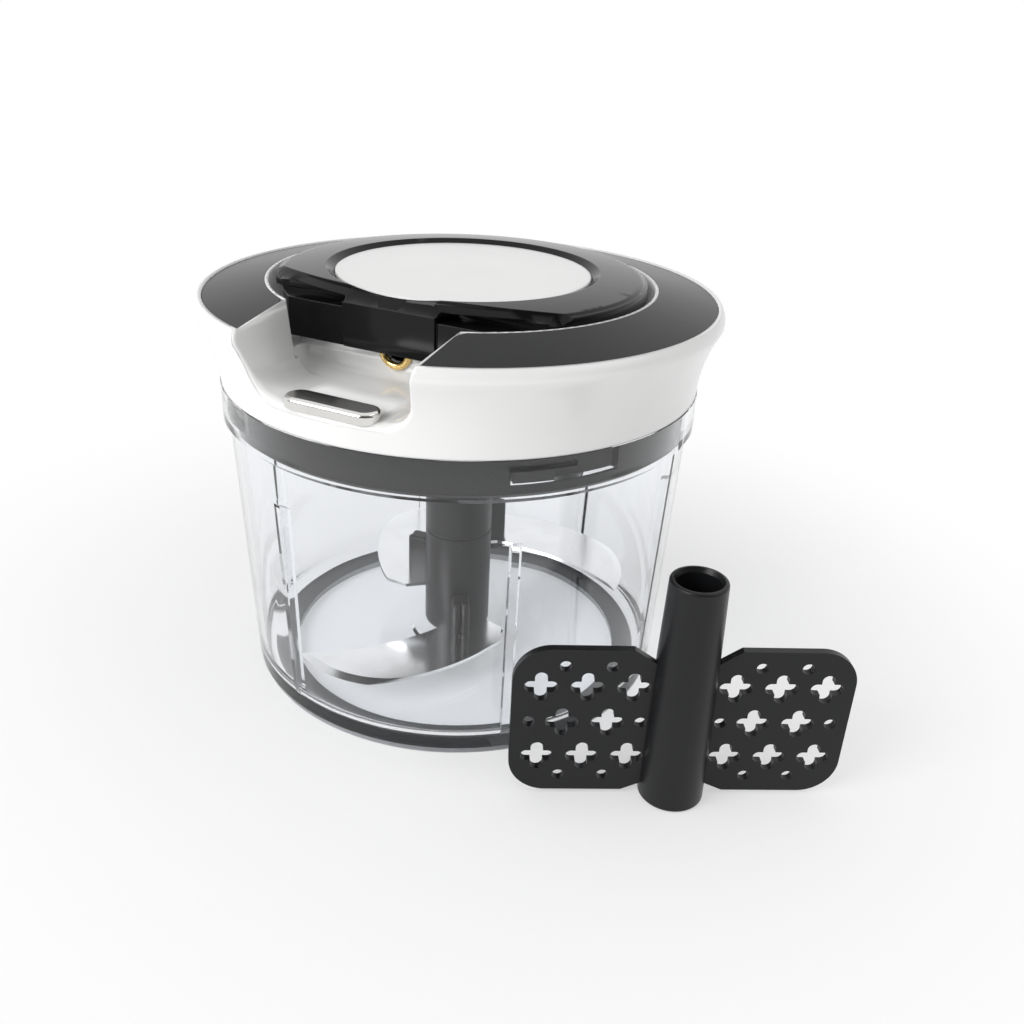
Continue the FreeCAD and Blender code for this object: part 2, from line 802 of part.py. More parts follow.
seal = new_body("lid_seal")
spin(seal, [
    (rim_inner + 1, rim_top + lid_gap / 2),
    (skirt_radius - 0.8, rim_top + lid_gap / 2),
    (skirt_radius - 0.7, lid_under + seal_height),
    (rim_inner + 0.9, lid_under + seal_height)])
finish(seal, "lid_seal")

eyelet = new_body("cord_eyelet")
spin(eyelet, [
    (eyelet_bore, -(tower_wall + barrel_tail)),
    (eyelet_barrel, -(tower_wall + barrel_tail)),
    (eyelet_barrel, 0),
    (eyelet_radius, 0, 0.9),
    (eyelet_radius - 0.8, eyelet_proud),
    (eyelet_radius - 1.4, eyelet_proud - 0.3),
    (eyelet_radius - 1.9, 0.3),
    (eyelet_bore + 0.6, -0.6),
    (eyelet_bore, -1.4)])
eyelet.Placement = FreeCAD.Placement(V(0, 0, 0), FreeCAD.Rotation(V(1, 0, 0), 90))
bind(eyelet, "Placement.Base.y", -front_wall)
bind(eyelet, "Placement.Base.z", eyelet_top)
finish(eyelet, "cord_eyelet")


wear_pad = new_body("wear_pad")
pad_half = pad_width / 2
pad_bar = pad(wear_pad, [
    (-pad_end, -(pad_place + pad_half)),
    (pad_end, -(pad_place + pad_half), pad_half),
    (pad_end, pad_half - pad_place),
    (-pad_end, pad_half - pad_place, pad_half)], pad_under, pad_top - pad_under)
round_edges(wear_pad, pad_bar, pad_top, pad_width / 7)
finish(wear_pad, "wear_pad")


# Reel, spring and ratchet inside the tower
reel_top = reel_under + reel_height
axle_bore = axle_radius + running_gap
axle = new_body("reel_axle")
spin(axle, [
    (0, axle_under),
    (axle_radius - 0.5, axle_under),
    (axle_radius, axle_under + 0.5),
    (axle_radius, tower_top - 1),
    (0, tower_top - 1)])
finish(axle, "reel_axle")

reel = new_body("reel_body")
drum_bore = reel_core - drum_wall
pawl_under = hub_disc_under + hub_disc + 0.3
spin(reel, [
    (axle_bore, pawl_under),
    (reel_boss, pawl_under),
    (reel_boss, reel_under),
    (reel_flange, reel_under),
    (reel_flange, reel_under + flange_thick),
    (reel_core, reel_under + flange_thick),
    (reel_core, reel_top - flange_thick),
    (reel_flange, reel_top - flange_thick),
    (reel_flange, reel_top),
    (drum_bore, reel_top),
    (drum_bore, reel_under + reel_floor),
    (axle_bore + 2, reel_under + reel_floor),
    (axle_bore + 2, reel_under + reel_floor + 3),
    (axle_bore, reel_under + reel_floor + 3)])
reel_pins = [reel]
for index in range(2):
    spot = at_bearing(1.0, 90 - float(pawl_behind) + 180 * index)
    reel_pins.append(cylinder(
        "pawl_pin_%d" % index, pawl_pin, pawl_under, reel_under + 0.5 - pawl_under,
        (pawl_place * spot.x, pawl_place * spot.y)))
finish(fuse("reel_with_pins", reel_pins), "cord_reel")

spring_cover = new_body("spring_cover")
spin(spring_cover, [
    (axle_bore, reel_top - flange_thick),
    (drum_bore, reel_top - flange_thick),
    (drum_bore, reel_top),
    (axle_bore, reel_top)])
finish(spring_cover, "spring_cover")


def clock_spring():
    """Flat spiral strip: half circles whose centres swap sides, each half a step wider."""
    grow = float(spring_step) / 2
    low = float(reel_under + reel_floor + 0.4)
    radius, centre, side = float(spring_start), 0.0, 1
    inner, outer = [], []
    for half in range(int(spring_turns) * 2):
        for wire, reach in ((inner, radius), (outer, radius + float(spring_thick))):
            wire.append(Part.Arc(
                V(centre + side * reach, 0, low), V(centre, side * reach, low),
                V(centre - side * reach, 0, low)).toShape())
        centre += side * grow
        radius += grow
        side = -side
    caps = [
        Part.makeLine(inner[0].Vertexes[0].Point, outer[0].Vertexes[0].Point),
        Part.makeLine(inner[-1].Vertexes[-1].Point, outer[-1].Vertexes[-1].Point)]
    outline = Part.Wire(Part.__sortEdges__(inner + outer + caps))
    return Part.Face(outline).extrude(V(0, 0, float(spring_height)))


finish(solid("spring_strip", clock_spring()), "recoil_spring")

hub = new_body("drive_hub_body")
ring_in = ratchet_radius - ratchet_wall
disc_up = hub_disc_under + hub_disc
spin(hub, [
    (axle_bore, hub_under),
    (hub_radius - 1, hub_under),
    (hub_radius, hub_under + 1),
    (hub_radius, hub_disc_under),
    (ratchet_radius, hub_disc_under),
    (ratchet_radius, disc_up + ratchet_height - 0.2),
    (ring_in, disc_up + ratchet_height - 0.2),
    (ring_in, disc_up),
    (axle_bore, disc_up)])
hex_half = (hex_across + hex_play) / 2


def hexagon(half):
    """Corners of a hexagon that is twice this half width across its flats."""
    return [
        (half * 1.1547, 0),
        (half * 0.57735, half),
        (-half * 0.57735, half),
        (-half * 1.1547, 0),
        (-half * 0.57735, -half),
        (half * 0.57735, -half)]


pad(hub, hexagon(hex_half), hub_under, hex_top + hex_play - hub_under, pocket=True)
tooth_sweep = math.radians(18)
tooth = pad(hub, [
    (ring_in - ratchet_depth, 0),
    (ring_in + 0.5, 0),
    ((ring_in + 0.5) * math.cos(tooth_sweep), (ring_in + 0.5) * math.sin(tooth_sweep)),
    (ring_in * math.cos(tooth_sweep), ring_in * math.sin(tooth_sweep))],
    disc_up, ratchet_height - 0.2)
ring_pattern(hub, tooth, ratchet_teeth)
finish(hub, "drive_hub")


def pawl(label, turn):
    """A pawl that hangs on its pin and leans against one tooth."""
    behind = math.radians(float(pawl_behind))
    pin_x, pin_y = pawl_place * math.cos(behind), -(pawl_place * math.sin(behind))
    arm = V(float(pawl_tip - pin_x), float(-pawl_lag - pin_y), 0).normalize()
    body = new_body(label)
    outline = [
        (pawl_tip, -pawl_lag),
        (pawl_tip - pawl_tip_width, -pawl_lag),
        (pin_x - pawl_head * arm.y, pin_y + pawl_head * arm.x, pawl_head * 1.01),
        (pin_x + pawl_head * arm.y, pin_y - pawl_head * arm.x)]
    bar = pad(body, outline, pawl_under, ratchet_height - 0.6)
    hole = body.newObject("Sketcher::SketchObject", label + "_hole")
    hole.AttachmentSupport = [(plane_of(body, "XY_Plane"), "")]
    hole.MapMode = "FlatFace"
    circle(hole, pin_x, pin_y, pawl_pin + running_gap)
    bind(hole, "AttachmentOffset.Base.z", pawl_under)
    drill = body.newObject("PartDesign::Pocket", label + "_bore")
    drill.Profile = hole
    drill.Reversed = True
    bind(drill, "Length", ratchet_height)
    body.Placement = FreeCAD.Placement(V(0, 0, 0), FreeCAD.Rotation(UP, turn))
    return finish(body, label)


def circle(sketch, x, y, radius):
    """Adds a circle whose centre and radius are tied to the sheet."""
    index = sketch.addGeometry(
        Part.Circle(V(float(x), float(y), 0), UP, float(radius)), False)
    tie_point(sketch, index, 3, (x, y))
    radius = as_size(radius)
    place = sketch.addConstraint(Sketcher.Constraint("Radius", index, radius.value))
    sketch.setExpression("Constraints[%d]" % place, radius.text)


pawl("pawl_front", 0)
pawl("pawl_rear", 180)


# Blade column: two grey bars, a brass bush, three swept blades and their clamps
column_upper = new_body("column_upper")
spin(column_upper, [
    (0, column_seam - spigot_length),
    (spigot_radius, column_seam - spigot_length),
    (spigot_radius, column_seam),
    (column_radius - column_edge, column_seam),
    (column_radius, column_seam + column_edge),
    (column_radius, column_top - column_edge),
    (column_radius - column_edge, column_top),
    (0, column_top)])
pad(column_upper, hexagon(hex_across / 2), column_top - 1, hex_top - column_top + 1)
finish(column_upper, "column_upper")

bush_under = boss_top + running_gap
bush_top = bush_under + bush_height
column_lower = new_body("column_lower")
spin(column_lower, [
    (bush_radius, column_under),
    (column_radius - 2, column_under, 2),
    (column_radius, column_under + 2),
    (column_radius, column_seam - column_edge),
    (column_radius - column_edge, column_seam),
    (spigot_radius + running_gap, column_seam),
    (spigot_radius + running_gap, column_seam - spigot_length - 1),
    (pin_radius + running_gap, column_seam - spigot_length - 1),
    (pin_radius + running_gap, bush_top),
    (bush_radius, bush_top)])
finish(column_lower, "column_lower")

bush = new_body("pin_bush")
spin(bush, [
    (pin_radius + running_gap, bush_under),
    (bush_radius, bush_under),
    (bush_radius, bush_top),
    (pin_radius + running_gap, bush_top)])
finish(bush, "pin_bush")

LEVELS = ("lower", "middle", "upper")


def level_turn(index):
    """Rotation of one blade level; each level up is turned clockwise by the same angle."""
    return FreeCAD.Rotation(UP, -float(blade_turn) * index)


def blade(index):
    """A swept blade with a bevel ground along its leading edge."""
    label = "blade_" + LEVELS[index]
    under = blade_lowest + blade_rise * index
    body = new_body(label)
    outline = [
        (blade_root_out, -blade_root_back, -blade_outer_arc),
        (-3, -blade_reach, -blade_tip_arc),
        (-blade_tip_x, -blade_tip_y, blade_inner_arc),
        (1, -blade_neck),
        (0, -(column_radius - 3)),
        (column_radius - 3, 0),
        (blade_root_out - 4, -4)]
    plate = pad(body, outline, under, blade_thick)
    round_pocket(body, column_radius, under - 1, blade_thick + 2)
    for place in (rivet_place, rivet_place + rivet_gap):
        spot = at_bearing(1.0, clamp_bearing)
        round_pocket(body, rivet_radius, under - 1, blade_thick + 2, (place * spot.x, place * spot.y))
    doc.recompute()
    bevel(body, label, under)
    body.Placement = FreeCAD.Placement(V(0, 0, 0), level_turn(index))
    return finish(body, label)


def round_pocket(body, radius, under, height, place=(0, 0)):
    """Drills a round hole down through a body."""
    name = "%s_hole_%d" % (body.Label, len(body.Group))
    sketch = sketch_on(body, "XY_Plane", name + "_outline")
    circle(sketch, place[0], place[1], radius)
    bind(sketch, "AttachmentOffset.Base.z", under)
    hole = body.newObject("PartDesign::Pocket", name)
    hole.Profile = sketch
    hole.Reversed = True
    bind(hole, "Length", height)
    return hole


def bevel(body, label, under):
    """Grinds the top of the leading edge down to a thin lip."""
    feature = body.Tip
    names = []
    for index, edge in enumerate(feature.Shape.Edges):
        box = edge.BoundBox
        flat = abs(box.ZMin - float(under + blade_thick)) < 0.01 and box.ZLength < 0.01
        middle = edge.valueAt((edge.FirstParameter + edge.LastParameter) / 2)
        leading = edge.Length > 15 and middle.y < -25 and edge.Curve.Radius < float(blade_outer_arc) + 1
        if flat and leading and math.hypot(middle.x, middle.y) > 46:
            names.append("Edge%d" % (index + 1))
    chamfer = body.newObject("PartDesign::Chamfer", label + "_bevel")
    chamfer.Base = (feature, names)
    chamfer.ChamferType = "Two distances"
    bind(chamfer, "Size", bevel_depth)
    bind(chamfer, "Size2", bevel_width)
    body.Tip = chamfer


def clamp(index):
    """Bracket under the blade root, two rivets through it and a double post above."""
    label = "blade_clamp_" + LEVELS[index]
    under = blade_lowest + blade_rise * index
    top = under + blade_thick
    body = new_body(label)
    half = clamp_width / 2
    pad(body, [
        (-half, 0),
        (-half, -(clamp_reach - 2)),
        (-(half - 2), -clamp_reach),
        (half - 2, -clamp_reach),
        (half, -(clamp_reach - 2)),
        (half, 0)], under - clamp_thick, clamp_thick)
    for place in (rivet_place, rivet_place + rivet_gap):
        name = "%s_rivet_%d" % (label, len(body.Group))
        sketch = sketch_on(body, "XY_Plane", name + "_outline")
        circle(sketch, 0, -place, rivet_radius)
        bind(sketch, "AttachmentOffset.Base.z", under - 1)
        bar = body.newObject("PartDesign::Pad", name)
        bar.Profile = sketch
        bind(bar, "Length", blade_thick + 2)
    lobe = fin_width / 4
    pad(body, [
        (-fin_width / 2, 0),
        (-fin_width / 2, -fin_reach, lobe * 1.01),
        (0, -fin_reach, lobe * 1.01),
        (fin_width / 2, -fin_reach),
        (fin_width / 2, 0)], top, fin_height)
    round_pocket(body, column_radius, under - clamp_thick - 1, clamp_thick + blade_thick + fin_height + 2)
    round_edges(body, body.Tip, top + fin_height, lobe * 0.7)
    turn = FreeCAD.Rotation(UP, float(clamp_bearing) - float(blade_turn) * index)
    body.Placement = FreeCAD.Placement(V(0, 0, 0), turn)
    return finish(body, label)


for level in range(len(LEVELS)):
    blade(level)
    clamp(level)


# Handle: black cap with a skirt in front of the tower, a base plate and a bare white disc
disc_under = disc_top - disc_thick
roof_low = disc_under - handle_roof
cap_form = new_body("cap_form")
spin(cap_form, [
    (0, disc_under),
    (disc_radius + 0.2, disc_under),
    (disc_radius + 0.2, disc_top),
    (crown_radius, crown_top, -crown_dome),
    (handle_edge, handle_top),
    (handle_edge + 0.3, handle_top - 0.5, -4.5),
    (handle_rim, handle_top - 3.2),
    (handle_rim, rim_under + 0.8),
    (handle_rim - 1, rim_under),
    (handle_skirt, rim_under),
    (handle_skirt, tower_top + dock_gap),
    (handle_skirt - handle_wall, tower_top + dock_gap),
    (handle_skirt - handle_wall, roof_low + 0.8),
    (0, roof_low + 0.8)])
front_form = new_body("front_form")
spin(front_form, [
    (0, rim_under),
    (front_arc + front_slope, rim_under),
    (front_arc + front_slope, handle_top - front_slope_drop),
    (front_arc, handle_top),
    (front_arc, crown_top + 5),
    (0, crown_top + 5)])
bind(front_form, "Placement.Base.y", front_arc - front_arc_place)
lower_box = block(
    "handle_lower_box", (-handle_rim - 5, -face_place, moat_floor),
    (handle_rim + 5, handle_rim + 5, rim_under))
upper = common("handle_upper", cap_form, fuse("handle_form", [front_form, lower_box]))

face_back = front_wall + face_play
skirt_round = cylinder("skirt_round", handle_skirt, skirt_under, pocket_top - skirt_under)
face_box = block(
    "face_box", (-handle_skirt, -face_place, skirt_under), (handle_skirt, -face_back, rim_under))
shelf_box = block(
    "shelf_box", (-handle_skirt, -face_place, rim_under - shelf_thick),
    (handle_skirt, 2 - pocket_back, rim_under))
back_box = block(
    "pocket_back_box", (-handle_skirt, -pocket_back, rim_under - shelf_thick),
    (handle_skirt, 2 - pocket_back, roof_low + 2))
skirt_front = common("skirt_front", skirt_round, fuse("skirt_boxes", [face_box, shelf_box, back_box]))
facet_half = facet_width / 2
facet = new_body("front_facet")
pad(facet, [
    (-facet_half, -face_back),
    (-facet_half, -facet_place),
    (facet_half, -facet_place),
    (facet_half, -face_back)], facet_under, handle_top - front_slope_drop - facet_under)
lip = block(
    "front_lip", (-facet_half, -(facet_place - 0.4), skirt_under), (facet_half, -face_back, facet_under))
block_top = block(
    "front_block", (-facet_half, -facet_place, tower_top + dock_gap),
    (facet_half, 2 - pocket_back, handle_top - front_slope_drop))

grips = []
for side in (-1, 1):
    grip = new_body("grip_left" if side < 0 else "grip_right")
    corners = [
        (side * facet_half, -(handle_rim + 5)),
        (side * facet_half, -(facet_place - 2)),
        (side * (facet_half + 5), -pocket_back),
        (side * (handle_rim + 5), -pocket_back),
        (side * (handle_rim + 5), -(handle_rim + 5))]
    pad(grip, corners, rim_under, pocket_top - rim_under)
    grips.append(grip)

cord_out = front_wall + eyelet_proud + cord_radius + cord_clear
groove = block(
    "cord_groove", (-(cord_radius + 0.15), -(cord_out + cord_radius + 0.2), skirt_under - 1),
    (cord_radius + 0.15, -face_back + 1, tower_top + dock_gap + 0.3))
ferrule_under = tower_top + dock_gap + 0.3
ferrule_room = cylinder(
    "ferrule_room", ferrule_radius + 0.05, ferrule_under, ferrule_height + 0.1, (0, -cord_out))
notch = doc.addObject("Part::Cylinder", "eyelet_notch")
bind(notch, "Radius", eyelet_radius + 0.6)
bind(notch, "Height", eyelet_proud - face_play + 0.4 + 1)
bind(notch, "Placement.Base.y", -(face_back - 1))
bind(notch, "Placement.Base.z", eyelet_top)
notch.Placement.Rotation = FreeCAD.Rotation(V(1, 0, 0), 90)

handle_posts = []
handle_pilots = []
handle_screws = []
base_under = tower_top + dock_gap
base_top = base_under + base_thick
for index in range(3):
    spot = at_bearing(1.0, 60 + 120 * index)
    place = (handle_screw_place * spot.x, handle_screw_place * spot.y)
    handle_posts.append(cylinder(
        "handle_post_%d" % index, post_radius - 0.5, base_top, roof_low + 1 - base_top, place))
    handle_pilots.append(cylinder(
        "handle_pilot_%d" % index, screw_radius - 0.2, base_top - 1, 4, place))
    handle_screws.append(cylinder(
        "handle_screw_head_%d" % index, screw_radius * 1.8, base_under + 0.1, 1.1, place))
    handle_screws.append(cylinder(
        "handle_screw_shank_%d" % index, screw_radius - 0.2, base_under + 1, base_thick + 1.5, place))
handle_solid = fuse(
    "handle_solid", [upper, skirt_front, facet, lip, block_top] + handle_posts)
finish(cut("handle_cut", handle_solid, fuse(
    "handle_holes", grips + [groove, ferrule_room, notch] + handle_pilots)), "handle_cap")

base_form = cut(
    "base_form",
    cylinder("base_disc", handle_skirt - handle_wall - 0.1, base_under, base_thick),
    block("base_front", (-handle_rim, -handle_rim, base_under - 1),
          (handle_rim, 2.1 - pocket_back, base_top + 1)))
base_holes = []
for index in range(3):
    spot = at_bearing(1.0, 60 + 120 * index)
    place = (handle_screw_place * spot.x, handle_screw_place * spot.y)
    base_holes.append(cylinder(
        "base_hole_%d" % index, screw_radius, base_under - 1, base_thick + 2, place))
    base_holes.append(cylinder(
        "base_sink_%d" % index, screw_radius * 2, base_under - 1, 2.2, place))
finish(cut("base_cut", base_form, fuse("base_holes", base_holes)), "handle_base")
finish(fuse("handle_screw_set", handle_screws), "handle_screws")

disc = new_body("handle_disc")
spin(disc, [
    (0, disc_under),
    (disc_radius, disc_under),
    (disc_radius, disc_top - 0.5),
    (disc_radius - 0.5, disc_top),
    (0, disc_top)])
finish(disc, "handle_disc")


# Cord: wound on the reel, out through the eyelet and up into a ferrule in the handle
wound_radius = float(reel_core + cord_radius + cord_play / 2)
turn_reach = float(front_wall - tower_wall - barrel_tail)
leave_angle = math.acos(wound_radius / turn_reach)
leave_bearing = -math.degrees(leave_angle)
winding_low = float(reel_under + flange_thick + cord_radius + cord_play)


def winding_point(turned):
    """A point of the winding, counted in radians back from where the cord leaves the reel."""
    bearing = leave_bearing - math.degrees(turned)
    rise = float(cord_step) * (float(cord_turns) - turned / (2 * math.pi))
    return at_bearing(wound_radius, bearing, winding_low + rise)


def winding_tangent(turned):
    bearing = math.radians(leave_bearing) - turned
    climb = float(cord_step) / (2 * math.pi * wound_radius)
    return V(math.cos(bearing), math.sin(bearing), climb).normalize()


def arc_from(start, corner, end):
    """The arc that leaves start towards corner and reaches end coming from it."""
    middle = (start + end) / 2
    rise = (corner - middle).Length
    half = (end - start).Length / 2
    sagitta = half * math.tan(math.atan2(rise, half) / 2)
    return Part.Arc(start, middle + (corner - middle).normalize() * sagitta, end).toShape()


def biarc(start, start_way, end, end_way):
    """Two arcs that join smoothly and carry one direction into another."""
    span = end - start
    both = start_way + end_way
    spread = 2 * (1 - start_way.dot(end_way))
    reach = (math.sqrt(span.dot(both) ** 2 + spread * span.dot(span)) - span.dot(both)) / spread
    first, second = start + start_way * reach, end - end_way * reach
    meet = (first + second) / 2
    return [arc_from(start, first, meet), arc_from(meet, second, end)]


def tube(edges, start, way):
    """A round cord along smoothly joined edges."""
    path = Part.Wire(edges)
    ring = Part.Wire([Part.Circle(start, way, float(cord_radius)).toShape()])
    return path.makePipeShell([ring], True, False), path.Length


quarters = int(float(cord_turns) * 4)
winding = []
for quarter in range(quarters, 0, -1):
    far, near = quarter * math.pi / 2, (quarter - 1) * math.pi / 2
    winding += biarc(
        winding_point(far), winding_tangent(far), winding_point(near), winding_tangent(near))
last_turn = quarters * math.pi / 2
wound, wound_length = tube(winding, winding_point(last_turn), winding_tangent(last_turn))
points = [winding_point(step * math.pi / 24) for step in range(quarters * 12)]
gaps = [
    (points[first] - points[second]).Length - 2 * float(cord_radius)
    for first in range(len(points)) for second in range(first + 12, len(points))]
print("winding: %d arcs, %.0f mm long, least gap %.2f mm" % (
    len(winding), wound_length, min(gaps)))
finish(solid("winding_tube", wound), "wound_cord")

leave = winding_point(0) + winding_tangent(0) * float(lead_gap)
eyelet_out = V(0, -float(cord_out) + float(cord_bend), float(eyelet_top))
turn_in = V(0, -turn_reach, float(eyelet_top))
way_in = (turn_in - leave).normalize()
reach_in = 1.6
soft_start = turn_in - way_in * reach_in
soft_end = turn_in + V(0, -1, 0) * reach_in
rise_end = V(0, -float(cord_out), float(eyelet_top + cord_bend))
top_end = V(0, -float(cord_out), float(ferrule_under) + 1.5)
run = [
    Part.makeLine(leave, soft_start),
    arc_from(soft_start, turn_in, soft_end),
    Part.makeLine(soft_end, eyelet_out),
    arc_from(eyelet_out, V(0, -float(cord_out), float(eyelet_top)), rise_end),
    Part.makeLine(rise_end, top_end)]
lead, lead_length = tube(run, leave, way_in)
print("lead: %.0f mm long, bends %.1f mm" % (lead_length, float(cord_bend)))
finish(solid("lead_tube", lead), "cord_lead")

ferrule = cut(
    "ferrule_cut",
    cylinder("ferrule_bar", ferrule_radius, ferrule_under, ferrule_height, (0, -cord_out)),
    cylinder("ferrule_bore", cord_radius, ferrule_under - 1, 2.5, (0, -cord_out)))
finish(ferrule, "cord_ferrule")


# Mixing paddle: tapered tube with two pierced wings
paddle = new_body("mixing_paddle")
spin(paddle, [
    (pin_radius + 0.4, 0),
    (paddle_foot_radius - 1, 0, 1),
    (paddle_foot_radius, 1),
    (paddle_foot_radius - 0.2, paddle_height / 3),
    (paddle_neck_radius, paddle_height - 1, 1),
    (paddle_neck_radius - 1, paddle_height),
    (paddle_bore + 0.8, paddle_height),
    (paddle_bore, paddle_height - 1.5),
    (paddle_bore, paddle_height - paddle_bore_depth),
    (pin_radius + 0.4, paddle_height - paddle_bore_depth - 3)])
wing_top = paddle_low + paddle_plate
inner_x = paddle_foot_radius - 2.5
flat_x = paddle_foot_radius + 6
for side in (-1, 1):
    bend = paddle_corner * side
    pad(paddle, [
        (side * inner_x, paddle_low + paddle_neck * 0.6),
        (side * flat_x, paddle_low),
        (side * (paddle_reach - paddle_corner), paddle_low, bend),
        (side * paddle_reach, paddle_low + paddle_corner),
        (side * paddle_reach, wing_top - paddle_corner, bend),
        (side * (paddle_reach - paddle_corner), wing_top),
        (side * flat_x, wing_top),
        (side * (inner_x - 1), wing_top - paddle_neck)], 0, paddle_thick, role="XZ_Plane", middle=True)
rows = [paddle_low + paddle_plate / 2 + row_step * step for step in (-1, 0, 1)]
spots = []
small_spots = []
for side in (-1, 1):
    for column in range(3):
        away = side * (cross_first + hole_step * column)
        spots += [(away, rows[0]), (away, rows[2])]
    for column in range(2):
        away = side * (cross_first + hole_step * (column + 0.5))
        spots.append((away, rows[1]))
        small_spots += [(away, rows[0] - small_rise), (away, rows[2] + small_rise)]
    small_spots += [
        (side * (cross_first + hole_step * 0.5 - small_offset), rows[1]),
        (side * (cross_first + hole_step * 1.5 + small_offset), rows[1])]


def pierce(name, fill):
    """Cuts a whole sheet of holes through both wings."""
    sketch = sketch_on(paddle, "XZ_Plane", name + "_outline")
    fill(sketch)
    hole = paddle.newObject("PartDesign::Pocket", name)
    hole.Profile = sketch
    hole.Midplane = True
    bind(hole, "Length", paddle_thick * 3)
    paddle.Tip = hole


def slots(along):
    reach, half = (cross_span - cross_arm) / 2, cross_arm / 2

    def fill(sketch):
        for x, z in spots:
            if along:
                draw(sketch, [
                    (x - reach, z - half), (x + reach, z - half, half * 1.01),
                    (x + reach, z + half), (x - reach, z + half, half * 1.01)])
            else:
                draw(sketch, [
                    (x + half, z - reach), (x + half, z + reach, half * 1.01),
                    (x - half, z + reach), (x - half, z - reach, half * 1.01)])
    return fill


def small_holes(sketch):
    for x, z in small_spots:
        circle(sketch, x, z, small_hole)


pierce("cross_along", slots(True))
pierce("cross_upright", slots(False))
pierce("small_holes", small_holes)
paddle.Placement = FreeCAD.Placement(V(0, 0, 0), FreeCAD.Rotation(UP, float(paddle_turn)))
bind(paddle, "Placement.Base.x", paddle_x)
bind(paddle, "Placement.Base.y", paddle_y)
finish(paddle, "mixing_paddle")


# Export
doc.recompute()
for thing in doc.Objects:
    if "Invalid" in thing.State or "Error" in thing.State:
        raise RuntimeError("failed: %s %s" % (thing.Label, thing.State))
os.makedirs("parts", exist_ok=True)
for node in nodes:
    shape = node.Shape
    if shape.isNull() or not shape.isValid():
        raise RuntimeError("bad shape: " + node.Label)
    print("%-16s solids %d volume %.0f" % (node.Label, len(shape.Solids), shape.Volume))
    shape.exportStep("parts/%s.step" % node.Label)
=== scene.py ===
# %% [markdown]
# # A pull-string food chopper and its mixing paddle
# The chopper is a clear bowl under a white lid.  A black handle rests in the lid and pulls a cord,
# and the cord spins a column with three curved blades.  A pierced paddle that can take the column's
# place stands beside the bowl.  The engineering model is loaded first and fixes every size and
# every joint; this lesson gives it its surfaces, its light and its camera.

# %% Load the engineering model
import math

import bmesh
import bpy
import numpy as np
from mathutils import Matrix, Vector


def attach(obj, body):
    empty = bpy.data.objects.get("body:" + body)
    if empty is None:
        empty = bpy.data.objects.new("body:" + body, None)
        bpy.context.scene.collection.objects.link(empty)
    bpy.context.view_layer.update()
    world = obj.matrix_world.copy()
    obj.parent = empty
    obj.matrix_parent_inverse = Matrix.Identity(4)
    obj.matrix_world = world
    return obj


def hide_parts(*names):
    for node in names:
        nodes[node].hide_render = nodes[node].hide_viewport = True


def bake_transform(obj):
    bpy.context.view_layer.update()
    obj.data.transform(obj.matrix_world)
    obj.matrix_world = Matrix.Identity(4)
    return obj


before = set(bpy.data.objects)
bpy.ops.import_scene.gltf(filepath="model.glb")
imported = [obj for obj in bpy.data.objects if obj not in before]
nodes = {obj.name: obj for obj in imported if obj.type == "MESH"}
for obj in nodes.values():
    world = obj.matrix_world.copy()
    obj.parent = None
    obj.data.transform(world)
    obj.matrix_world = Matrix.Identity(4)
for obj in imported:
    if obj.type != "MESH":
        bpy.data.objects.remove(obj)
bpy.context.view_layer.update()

# %% [markdown]
# ## The camera
# The photograph looks down at the chopper from the front right.  The view was worked out from the
# ellipses of the rim, the lid and the white disc: how far away, how high, and how the camera was
# panned, tilted and rolled.  Building the three directions of the camera by hand keeps each of
# these numbers readable, where a track-to constraint would hide the roll.

# %% Place the camera
STAND_OFF = 0.3416
EYE_HEIGHT = 0.22636
AROUND, PAN, TILT, ROLL = (math.radians(a) for a in (28.5, 3.375, 26.485, 2.705))
FOCAL_SHARE = 1004.8 / 1024
SENSOR, NEAREST = 36.0, 0.01


def turned(vector, angle):
    """The vector turned about the upright axis: x cos - y sin, x sin + y cos."""
    return Matrix.Rotation(angle, 3, "Z") @ Vector(vector)


forward = turned(
    (math.sin(PAN) * math.cos(TILT), math.cos(PAN) * math.cos(TILT), -math.sin(TILT)), AROUND)
level = forward.cross(Vector((0, 0, 1))).normalized()
upright = level.cross(forward)
across = level * math.cos(ROLL) + upright * math.sin(ROLL)
above = upright * math.cos(ROLL) - level * math.sin(ROLL)
lens = bpy.data.cameras.new("camera")
lens.sensor_width = SENSOR
lens.lens = SENSOR * FOCAL_SHARE
lens.clip_start = NEAREST
camera = bpy.data.objects.new("camera", lens)
camera.matrix_world = Matrix.Translation(turned((0, -STAND_OFF, EYE_HEIGHT), AROUND)) @ Matrix(
    (across, above, -forward)).transposed().to_4x4()
bpy.context.scene.collection.objects.link(camera)
bpy.context.scene.camera = camera
bpy.context.scene.view_settings.view_transform = "Standard"
print("camera at", [round(1000 * c) for c in camera.location], "mm, lens", round(lens.lens, 2))

# %% [markdown]
# ## Arithmetic on shader sockets
# Nothing on the chopper is one even colour or one even gloss, so every finish is a few formulas:
# this much grain, less of it where the surface is worn.  Nodes could be wired by hand, but that hides
# the formula.  A small class wraps a socket instead and lets Python's own signs add the Math nodes.
# Everything else comes from one method that takes the kind of node, its settings and what goes into
# its sockets.

# %% Sockets that can be added and multiplied


